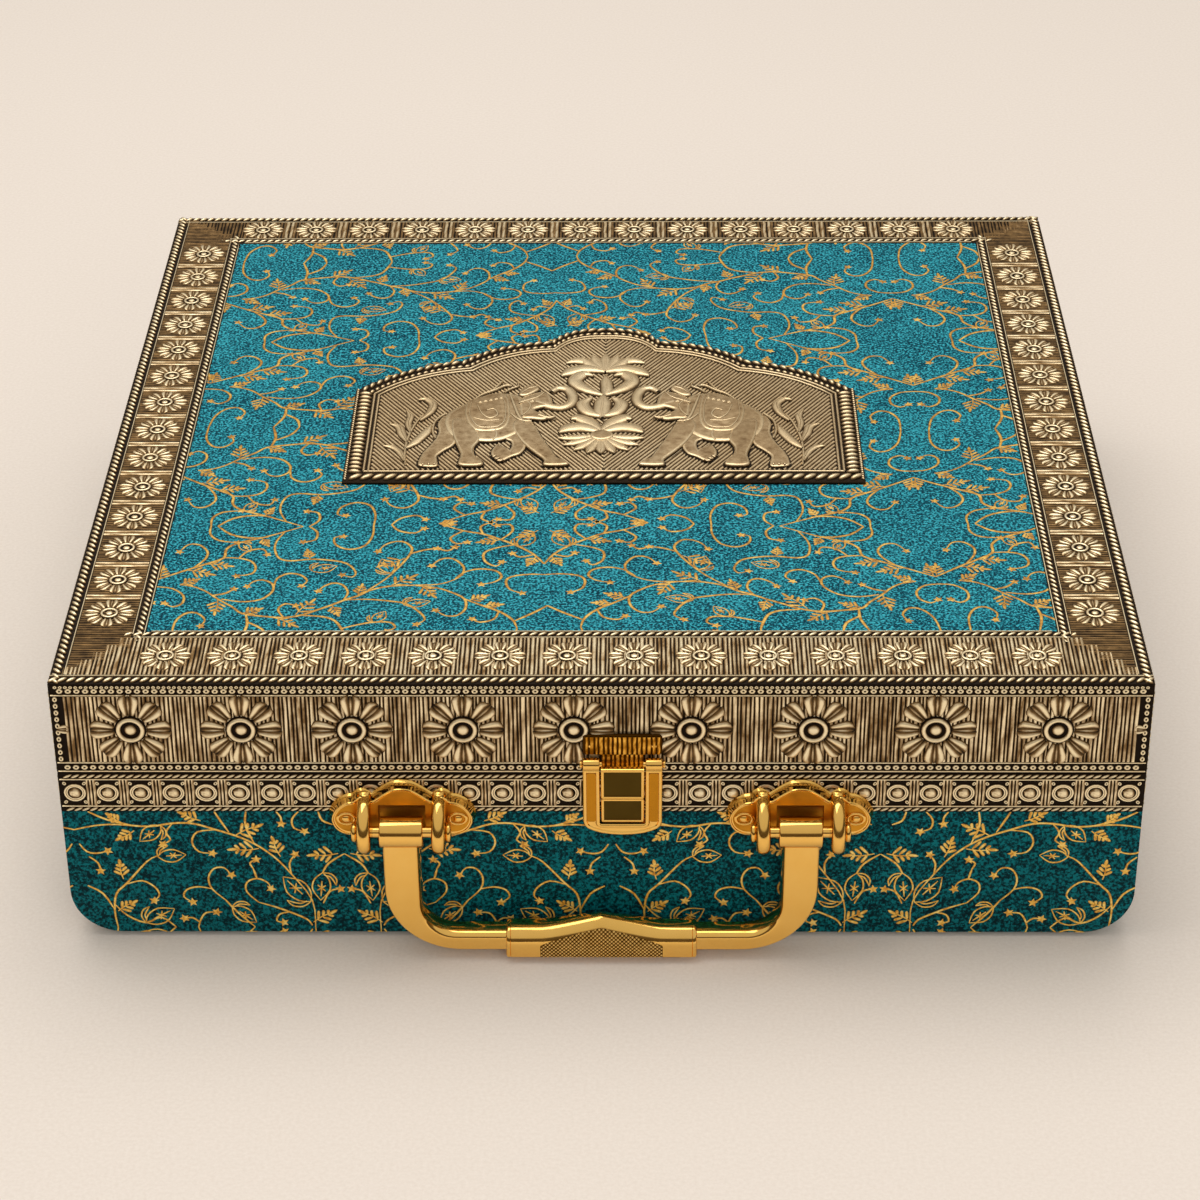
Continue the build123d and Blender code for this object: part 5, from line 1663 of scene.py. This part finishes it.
top_vines = vine_field("lid_vines", top_tile, top_size, cloth_low.xy, cloth_high.xy, cloth_low.xy, 2.5 * mm)
shift(top_vines, z=top_z)
wear(top_vines, pale_print)
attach(top_vines, "lid")
print("lid vines", faces(top_vines), "faces")

# %% Vines round the base
base_rise = base_high.z - base_low.z
wrapped = base_rise - corner + corner * pi / 2
start_x = -half + 3 * mm
corner_cuts = [radians(a) for a in (9, 27, 45, 63, 81)]
base_sway = 3 * mm
for k, side in enumerate(sides):
    name = "base_vines_" + side
    if k % 2 == 0:
        field = vine_field(name, front_tile, front_size, (-half, 0), (half, base_rise),
                           (start_x, 1.7 * mm), 0 if k == 0 else base_sway)
        for s in (-1, 1):
            for a in corner_cuts:
                way = Vector((s * cos(a), -sin(a), 0))
                middle = Vector((s * (half - corner), corner, 0))
                cut_away(field, middle + way * (corner - 0.15 * mm), way)
    else:
        edge = half - 0.4 * mm
        field = vine_field(name, front_tile, front_size, (-edge, 0), (edge, wrapped),
                           (start_x, wrapped - base_rise), base_sway)
        for v in field.data.vertices:
            under = wrapped - (base_rise - corner) - v.co.y
            if under > 0:
                a = under / corner
                v.co.y = corner - (corner + v.co.z) * sin(a)
                v.co.z = -corner + (corner + v.co.z) * cos(a)
            else:
                v.co.y = v.co.y - (wrapped - base_rise)
    stand_up(field, name, k, base_low.z)
    wear(field, gold_print)
    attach(field, "base")
    print(field.name, faces(field), "faces")
drop(front_tile, top_tile)
# %% [markdown]
# ## Handle
# The drop handle is cast and polished brass: two thick brackets, a bent bail with two eyes, headed pins
# and a grip sleeve. Its forms are rounded solids that change along their length, so most are lofted:
# a grid is rolled up, its points are moved onto a row of closed sections, and both ends are filled.

# %% Lofted solid
def loft(name, rings, degrees=40):
    """A solid through a row of closed sections with the same number of points."""
    around, along = len(rings[0]), len(rings)
    solid = grid(name, around, along - 1)
    for v in solid.data.vertices:
        i = round((v.co.x + 0.5) * around) % around
        v.co = Vector(rings[round((v.co.y + 0.5) * (along - 1))][i]) * mm
    edit(solid)
    bpy.ops.mesh.remove_doubles(threshold=0.000005)
    bpy.ops.mesh.fill_holes(sides=0)
    bpy.ops.mesh.normals_make_consistent(inside=False)
    done()
    return smooth(solid, degrees)


def rod(name, radius, x0, x1, y, z, edge, sides=40):
    """A round bar along X with rounded ends."""
    bpy.ops.mesh.primitive_cylinder_add(vertices=sides, radius=radius * mm, depth=(x1 - x0) * mm,
                                        location=((x0 + x1) / 2 * mm, y * mm, z * mm),
                                        rotation=(0, pi / 2, 0))
    bar = settle(name_it(name))
    round_edges(bar, edge * mm, 4, 60)
    return smooth(bar, 40)


pivot_y, pivot_z = -158.0, 42.0
bracket_middles = (-55.0, 55.0)
print("loft ready")

# %% [markdown]
# The bracket is a thick plate with a lobe at each end, a small bump over each lug and an arch between.
# Its front edge is a thin raised line that catches the light, and its upper side mirrors the rim.
# The barrel of the bail turns in a hollow, cut here by a cylinder with a Boolean.

# %% Bracket plate
bracket_front = 4.2
plate_lift = 1.5
plate_right = [(0, 10.1), (2.6, 9.7), (5.2, 8.1), (8.3, 5.9), (9.6, 6.6), (11.2, 7.4), (12.6, 6.6),
               (13.6, 5.7), (15.6, 5.2), (18.2, 3.2), (19.6, 0), (18.6, -3.2), (16.0, -5.1), (12.0, -5.5),
               (6.0, -5.4)]
plate_outline = smooth_line(plate_right + [(-x, z) for x, z in reversed(plate_right[1:])], 4, closed=True)


def bracket_plate():
    """The plate lying flat: its outline grown or drawn in at each height, up to the sunk field."""
    steps = [(0.8, 0.2), (0.8, 0.7), (0.55, 1.1), (0.2, 1.7), (0.0, 2.6), (-0.02, bracket_front - 0.3),
             (-0.16, bracket_front - 0.06), (-0.34, bracket_front), (-0.52, bracket_front - 0.06),
             (-0.7, bracket_front - 0.34), (-1.0, bracket_front - 0.4)]
    rings = [[(p.x, p.y, height) for p in grown(plate_outline, by)] for by, height in steps]
    return loft("bracket_plate", rings)


hollow = rod("hollow", 7.5, -6.5, 6.5, 0, 0, 0.1, sides=64)
shift(hollow, y=-plate_lift * mm, z=8.3 * mm)
plate = bracket_plate()
take(plate)
cut = plate.modifiers.new("cut", "BOOLEAN")
cut.operation = "DIFFERENCE"
cut.object = hollow
bpy.ops.object.modifier_apply(modifier="cut")
drop(hollow)
smooth(plate, 28)
print("plate faces", faces(plate))

# %% Eyelets and rivets
eyelet = hoop("eyelet", 30, 10, 1.95, 0.42, (1.22, 0.92, 0.8))
rivet = ball("rivet", 20, 12, 1.2, (1.1, 0.95, 0.5))
for piece in (eyelet, rivet):
    smooth(piece, 60)
print("eyelet faces", faces(eyelet))

# %% Lug
lug_side = smooth_line([(6.4, 8.7), (4.2, 8.8), (1.6, 8.0), (-1.6, 6.0), (-4.0, 3.2), (-5.15, 0),
                        (-4.8, -3.2), (-3.0, -5.5), (-0.2, -6.4), (3.0, -5.6), (6.4, -5.0)], 4, closed=True)
lug_half, lug_round, lug_offset = 1.9, 1.45, 10.3
eyelet_offset = 15.4
eyelet_sink = bracket_front - 0.3
plate_z = (pivot_z + plate_lift) * mm
hollow_half, hollow_reach = 6.6, 7.8


def lug(x):
    """A tongue that comes out of the plate and rounds over the pin; its section shrinks at both faces."""
    rings = []
    for step in range(13):
        a = radians(-90 + 15 * step)
        ring = grown(lug_side, lug_round * (cos(a) - 1))
        rings.append([(x + lug_half * sin(a), pivot_y + p.x, pivot_z + p.y) for p in ring])
    return loft("lug", rings, 50)


for middle, side in zip(bracket_middles, ("left", "right")):
    pieces = [placed(plate, 0, 0)]
    pieces += [placed(eyelet, s * eyelet_offset * mm, 0, lift=eyelet_sink * mm) for s in (-1, 1)]
    for piece in pieces:
        fronted(piece, middle * mm, -half, plate_z)
    pieces += [lug(middle + s * lug_offset) for s in (-1, 1)]
    bracket = join("bracket_" + side, pieces)
    polish(bracket)
    # Faces in the hollow round the barrel take the darker copy: painted shade and painted reflection.
    bracket.data.materials.append(hollow_brass_painted_shade)
    for face in bracket.data.polygons:
        at = face.center / mm - Vector((middle, pivot_y, pivot_z))
        if abs(at.x) < hollow_half and hypot(at.y, at.z) < hollow_reach:
            face.material_index = 1
    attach(bracket, "base")
    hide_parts("handle_bracket_" + side)
    print(bracket.name, faces(bracket), "faces")

# %% Rivets and pins
rivet_places = [m + s * eyelet_offset for m in bracket_middles for s in (-1, 1)]
rivets = join("bracket_rivets", [fronted(placed(rivet, 0, 0), x * mm, -half - eyelet_sink * mm, plate_z)
                                 for x in rivet_places])
polish(rivets)
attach(rivets, "base")
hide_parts("handle_bracket_screws")
pins = []
for m in bracket_middles:
    pins.append(rod("pin", 1.6, m - 12.6, m + 12.6, pivot_y, pivot_z, 0.3))
    for head in (m - 13, m + 13):
        pins.append(rod("pin_head", 2.9, head - 0.8, head + 0.8, pivot_y, pivot_z, 0.75))
pins = join("bracket_pins", pins)
polish(pins)
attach(pins, "base")
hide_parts("handle_pins")
drop(plate, eyelet, rivet)
print("rivets and pins", faces(rivets) + faces(pins), "faces")

# %% [markdown]
# The bail is flat in front and rounded on its inner side. Its arms are wide and narrow through the bends
# into a slimmer bar, so the outer and the inner line are drawn separately and the section spans them.

# %% Bail
outer_x, arm_width, bail_low, bar_rise = 60.15, 10.3, -38.6, 6.0
bend_outer, bend_inner = 21.0, 9.5


bend_steps = 14


def bend_line(x, low, radius):
    """One side of the bail: from the eye down its arm, round the bend and along to the middle."""
    line = [(x, -1.5), (x, (low + radius - 1.5) / 2)]
    for k in range(bend_steps + 1):
        a = pi / 2 * k / bend_steps
        line.append((x - radius + radius * cos(a), low + radius - radius * sin(a)))
    return line + [(0.6 * (x - radius), low), (0.3 * (x - radius), low)]


def bail_ring(outer, inner):
    """Section between an outer and an inner point: flat front, rounded inner shoulder."""
    outer, inner = Vector(outer), Vector(inner)
    wide = (inner - outer).length
    way = (inner - outer) / wide
    shoulder = between(wide, [(6.0, 2.1), (10.3, 1.2), (30.0, 1.2)])
    edge = [(0.0, -2.3), (0.12, -2.72), (0.45, -3.0), (0.9, -3.0), (wide - shoulder - 0.4, -3.0)]
    for k in range(7):
        a = radians(15 * k)
        edge.append((wide - shoulder + shoulder * sin(a), -3.0 + 4.4 * (1 - cos(a))))
    edge += [(wide, 2.4), (wide - 0.5, 3.0), (0.5, 3.0), (0.0, 2.4)]
    return [(outer.x + way.x * u, pivot_y + y, pivot_z + outer.y + way.y * u) for u, y in edge]


outer_line = bend_line(outer_x, bail_low, bend_outer)
inner_line = bend_line(outer_x - arm_width, bail_low + bar_rise, bend_inner)
rings = [bail_ring(a, b) for a, b in zip(outer_line, inner_line)]
mirrored = [[(-x, y, z) for x, y, z in ring] for ring in reversed(rings)]
bail = loft("bail_body", rings + mirrored, 32)
eyes = [rod("eye", 4.4, m - 6, m + 6, pivot_y, pivot_z, 0.45, sides=64) for m in bracket_middles]
bail = join("bail", [bail] + eyes)
polish(bail)
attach(bail, "handle")
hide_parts("handle_bail")
print("bail faces", faces(bail))

# %% [markdown]
# The grip is a sleeve with a flat front and a rounded shoulder that rises to a ridge in the middle.
# The knurled patch in front is a fine grid whose points are pushed out in small diamonds.

# %% Grip
grip_middle = pivot_z + bail_low + bar_rise / 2
grip_half, ridge_run = 26.7, 16.5


def ridge(x):
    """How far the top rises over the sleeve at x."""
    return 3.4 * max(0.0, 1 - abs(x) / ridge_run) ** 1.15


def grip_curve(x):
    """Front of the sleeve at x, from the bottom up, as y and z round its middle."""
    curve = [(-4.2, -4.4), (-4.5, -4.25), (-4.6, -3.9), (-4.6, -1.9), (-4.6, -0.5)]
    for k in range(1, 10):
        a = radians(10 * k)
        curve.append((-4.6 + 5.0 * (1 - cos(a)), -0.5 + (4.7 + ridge(x)) * sin(a)))
    return curve


def grip_ring(x, shrink=1.0):
    top = 4.2 + ridge(x)
    edge = grip_curve(x) + [(2.4, top - 0.2 - 0.2 * ridge(x)), (4.2, top - 1.3 - 0.3 * ridge(x)), (4.6, 2.2),
                            (4.6, -3.9), (4.2, -4.4)]
    return [(x, pivot_y + y * shrink, grip_middle + z * shrink) for y, z in edge]


# Each end is rounded off and has a groove before it; the pairs are a place and how far it is drawn in.
stations = sorted({s * x for s in (-1, 1) for x in (25.4, 24, 20, 16.5, 14, 11.5, 9, 6.5, 4, 2, 0.7, 0)})
end = [(25.45, 0.965), (25.6, 1.0), (grip_half - 0.6, 1.0), (grip_half - 0.2, 0.96), (grip_half, 0.9)]
rings = [grip_ring(-x, shrink) for x, shrink in reversed(end)] + [grip_ring(x) for x in stations]
rings += [grip_ring(x, shrink) for x, shrink in end]
grip = loft("grip", rings, 24)
print("grip faces", faces(grip))

# %% Knurled patch
patch_half, diamond = 17.2, 0.82
patch_rim = 0.12


def along_curve(curve, distance):
    """Point and outward direction at a distance along the grip's front."""
    for (ya, za), (yb, zb) in zip(curve[:-1], curve[1:]):
        length = hypot(yb - ya, zb - za)
        if distance <= length:
            t = distance / length
            return Vector((ya + (yb - ya) * t, za + (zb - za) * t)), Vector((-(zb - za), yb - ya)) / length
        distance -= length
    return Vector(curve[-1]), Vector((-0.3, 1)).normalized()


knurl = grid("knurl", 230, 62)
layer = relief_of(knurl)
for v in knurl.data.vertices:
    x, run = 2 * patch_half * v.co.x, v.co.y + 0.5
    reach = 3.9 + 5.6 * (1 - abs(x) / patch_half) ** 0.75
    distance = 0.35 + run * reach
    at, out_way = along_curve(grip_curve(x), distance)
    a, b = (abs(sin(pi * along / diamond / 1.414)) for along in (x + distance, x - distance))
    border = min(run, 1 - run) * reach < patch_rim or abs(abs(x) - patch_half) < patch_rim
    rise = 0.0 if border else (a * b) ** 0.8
    at += out_way * (-0.04 if border else 0.05 + 0.17 * rise)
    v.co = (x * mm, (pivot_y + at.x) * mm, (grip_middle + at.y) * mm)
    layer.data[v.index].value = rise
face_out(knurl)
smooth(knurl, 60)
wear(knurl, knurled_brass)
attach(knurl, "handle")
polish(grip)
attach(grip, "handle")
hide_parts("handle_grip")
print("knurl faces", faces(knurl))

# %% [markdown]
# ## Latch
# A fixed plate on the lid carries a framed panel; a U hangs from its pin round that panel and a second
# one on the base. Frames are bright and panels dark. The frame of each is inset from a flat outline.

# %% Framed shapes
latch_x = 6.0
latch_front = 155.2
latch_pin_y, latch_pin_z = -153.4, 61.4
u_side_x = 8.6


def framed(name, outline, thick, steps):
    """A flat outline with walls, then a row of insets; its back is at zero."""
    shape = flat_shape(name, outline)
    edit(shape, "FACE")
    extrude_up(thick * mm)
    for inwards, upwards in steps:
        step_in(inwards, upwards)
    done()
    face_out(shape)
    return shape


def face_front(piece, back):
    """Turns a flat piece of the latch to the front, its back at a distance before the middle."""
    return fronted(piece, latch_x * mm, -back * mm, 0)


def panel_outline(half_wide, low, high, cut=0.35):
    return [Vector(p) for p in ((-half_wide + cut, low), (half_wide - cut, low), (half_wide, low + cut),
                                (half_wide, high - cut), (half_wide - cut, high), (-half_wide + cut, high),
                                (-half_wide, high - cut), (-half_wide, low + cut))]


print("framed shapes ready")

# %% The two panels
panel_half = 5.9
for name, low, high, back, front, body, node in (
        ("latch_upper", 50.95, 60.6, 151.0, latch_front, "lid", None),
        ("latch_lower", 42.85, 50.75, 150.0, 154.7, "base", "latch_catch")):
    frame_piece = framed(name + "_frame", panel_outline(panel_half, low, high), front - back - 0.2,
                         [(0.12, 0.14), (0.12, 0.06), (0.42, 0.0), (0.1, -0.08), (0.06, -0.4)])
    face_front(frame_piece, back)
    smooth(frame_piece, 30)
    field = framed(name + "_panel", panel_outline(panel_half - 0.8, low + 0.8, high - 0.8, 0.1), 0.1,
                   [(0.15, 0.02)])
    face_front(field, front - 0.5)
    wear(field, dark_brass)
    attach(field, body)
    polish(frame_piece)
    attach(frame_piece, body)
    if node:
        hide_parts(node)
    print(name, faces(frame_piece), "faces")

# %% Crown and flange of the fixed plate
crown_side = [(-151.0, 59.9), (-155.0, 59.9), (-155.15, 60.2), (-155.05, 60.6), (-154.8, 60.75),
              (-154.4, 60.83), (-151.6, 61.2), (-151.0, 61.3)]
crown = loft("latch_crown", [[(latch_x + s * panel_half, y, z) for y, z in crown_side] for s in (-1, 1)], 30)


def latch_reeds(length, count, z):
    """A field of reeds on the fixed plate, its middle at a height."""
    return shift(reed_field(length * mm, count, pitch=1.3 * mm, rise=0.4 * mm), y=z * mm, z=1.0 * mm)


reeds, low_reeds = latch_reeds(5.6, 16, 66.4), latch_reeds(2.5, 9, 62.3)
flange = framed("flange", panel_outline(10.9, 63.3, 69.6, 0.6), 0.75, [(0.2, 0.2), (0.2, 0.05)])
web = framed("web", panel_outline(5.9, 61.0, 63.6, 0.2), 0.95, [(0.1, 0.02)])
flange = face_front(join("latch_flange", [flange, reeds, web, low_reeds]), 150.55)
smooth(flange, 50)
wear(flange, rubbed_brass)
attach(flange, "lid")
polish(crown)
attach(crown, "lid")
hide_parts("latch_lid_plate")
print("crown and flange", faces(crown) + faces(flange), "faces")

# %% Hinged U
u_right = [(0, 38.8), (3, 38.95), (5.8, 39.4), (8.2, 40.2), (9.7, 41.0), (10.55, 42.0), (10.9, 43.4),
           (10.9, 60.6), (6.3, 60.6), (6.3, 42.9), (6.15, 42.55), (5.8, 42.4)]
u_outline = [Vector(p) for p in u_right] + [Vector((-x, z)) for x, z in reversed(u_right[1:])]
u_frame = face_front(framed("u_frame", u_outline, 2.2, [(0.16, 0.22), (0.2, 0.1), (0.25, 0.02), (0.3, -0.1),
                                                        (0.25, -0.35), (0.2, -0.05)]), 152.66)
u_parts = [smooth(u_frame, 30)]
u_middles = [latch_x - u_side_x, latch_x + u_side_x]
u_parts += [rod("knuckle", 1.8, x - 2.3, x + 2.3, latch_pin_y, latch_pin_z, 0.3) for x in u_middles]
u_parts += [rod("lip", 0.42, x - 2.25, x + 2.25, -154.75, 60.2, 0.1, sides=16) for x in u_middles]
u_frame = join("latch_u", u_parts)
polish(u_frame)
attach(u_frame, "latch")
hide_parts("latch_bail")
strips = [shift(framed("strip", panel_outline(1.3, 43.2, 59.4, 0.5), 0.1, [(0.2, 0.03)]), s * u_side_x * mm)
          for s in (-1, 1)]
strips = face_front(join("latch_strips", strips), 154.78)
wear(strips, amber_brass)
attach(strips, "latch")
print("u faces", faces(u_frame))

# %% Pin ends and screws of the latch
pin_sections = [("pin_end", 0.8, 5.6, 11.0, 0.15), ("pin_cap", 1.15, 11.05, 11.75, 0.25)]
pin_ends = []
for s in (-1, 1):
    for name, radius, inner, outer, edge in pin_sections:
        x0, x1 = sorted((latch_x + s * inner, latch_x + s * outer))
        pin_ends.append(rod(name, radius, x0, x1, latch_pin_y, latch_pin_z, edge, sides=24))
pin_ends = join("latch_pin_ends", pin_ends)
polish(pin_ends)
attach(pin_ends, "lid")
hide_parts("latch_pin")
screws = []
for s in (-1, 1):
    screw = halved(ball("screw", 18, 10, 0.95, (1, 1, 0.6)), cap=True)
    shift(screw, s * u_side_x * mm, 66.0 * mm, 1.25 * mm)
    screws.append(smooth(screw, 50))
screws = face_front(join("latch_small_screws", screws), 150.0)
polish(screws)
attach(screws, "lid")
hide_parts("latch_screws")
print("pin ends and screws", faces(pin_ends) + faces(screws), "faces")

# %% [markdown]
# ## Padding
# The floor of the box and the underside of the lid are velvet over thin padding, sewn down under the
# dividers, so each cell is crowned and its edges are pulled in. A grid gives the face, its rim is
# extruded down and closed.

# %% Pads
def pad(name, node, body, cells, swell, face_up):
    """A crowned pad; swell is the share of its height that is kept at the seams."""
    low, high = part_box(node)
    size = high - low
    piece = grid(name, 64, 64)
    for v in piece.data.vertices:
        u, w = v.co.x + 0.5, v.co.y + 0.5
        crown = (abs(sin(pi * cells * u)) * abs(sin(pi * cells * w))) ** 0.45
        tuck = 0.6 * mm * (1 - sin(pi * min(u, 1 - u, w, 1 - w)) ** 0.2)
        away = size.z * (1 - swell) * (1 - crown)
        v.co.x = low.x + u * size.x + (tuck if u < 0.5 else -tuck)
        v.co.y = low.y + w * size.y + (tuck if w < 0.5 else -tuck)
        v.co.z = high.z - away if face_up else low.z + away
    edit(piece, "EDGE")
    bpy.ops.mesh.select_all(action="DESELECT")
    bpy.ops.mesh.select_non_manifold()
    bpy.ops.mesh.extrude_region_move()
    flat = low.z if face_up else high.z
    bpy.ops.transform.resize(value=(1, 1, 0), center_override=(0, 0, flat))
    bpy.ops.mesh.fill_holes(sides=0)
    bpy.ops.mesh.select_all(action="SELECT")
    bpy.ops.mesh.normals_make_consistent(inside=False)
    done()
    smooth(piece, 50)
    wear(piece, velvet)
    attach(piece, body)
    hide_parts(node)
    print(name, [round(c * 1000, 1) for c in piece.dimensions], faces(piece), "faces")


pad("floor_pad", "floor_lining_pad", "base", 2, 0.4, True)
pad("lid_pad", "lid_lining_pad", "lid", 2, 0.3, False)

# %% [markdown]
# ## Floor and light
# The photograph has a plain warm floor that runs out of view, a broad soft light from above and behind,
# and a weak fill from the front, so the shadow is short and soft at the front.

# %% Floor
bpy.ops.mesh.primitive_plane_add(size=30, location=(0, 0, 0))
floor = name_it("floor")
floor_finish, tree, shader = finish_named("floor_finish", rough=0.9)
place = object_place(tree)
paper = noise(tree, place, 900.0, 2.0, 0.6)
floor_tones = [(0.3, tint(222, 212, 202)), (0.7, tint(229, 220, 211))]
paint(tree, shader, ramp(tree, paper, floor_tones))
wear(floor, floor_finish)
floor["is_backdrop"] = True
print("floor ready")

# %% Lights
aim = Vector((0, 0, 0.05))
warm_white = (1, 0.97, 0.93)


def soft_box(name, place, size, power, mirrored=True):
    """A broad lamp that looks at the box; mirrored says whether metal shows it."""
    bpy.ops.object.light_add(type="AREA", location=place)
    lamp = bpy.context.object
    lamp.name = name
    lamp.data.shape = "RECTANGLE"
    lamp.data.size, lamp.data.size_y = size
    lamp.data.energy = power
    lamp.data.color = warm_white
    lamp.rotation_euler = (aim - Vector(place)).to_track_quat("-Z", "Y").to_euler()
    lamp.visible_glossy = mirrored


soft_box("overhead", (-0.15, 0.35, 1.5), (1.6, 1.2), 15.5)
soft_box("front_fill", (0.2, -1.6, 0.9), (1.4, 0.6), 9, mirrored=False)
world = bpy.data.worlds.new("studio")
bpy.context.scene.world = world
world.use_nodes = True
tree = world.node_tree
back = tree.nodes["Background"]
place = tree.nodes.new("ShaderNodeTexCoord").outputs["Generated"]
split = tree.nodes.new("ShaderNodeSeparateXYZ")
tree.links.new(place, split.inputs["Vector"])
sky = [(0.0, (0.12, 0.09, 0.06, 1)), (0.36, (0.18, 0.14, 0.1, 1)), (0.46, (0.9, 0.86, 0.8, 1)),
       (1.0, (*warm_white, 1))]
tree.links.new(ramp(tree, split.outputs["Z"], sky), back.inputs["Color"])
back.inputs["Strength"].default_value = 0.66
bpy.context.scene.view_settings.view_transform = "Standard"

# %% [markdown]
# ## Last steps
# The models that were only copied are removed, and the box round the dressed model is printed.

# %% Finish
drop(bead, strand, petal, rosette, motif)
low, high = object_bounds()
print("visual model mm", [round(c * 1000, 1) for c in low], [round(c * 1000, 1) for c in high])
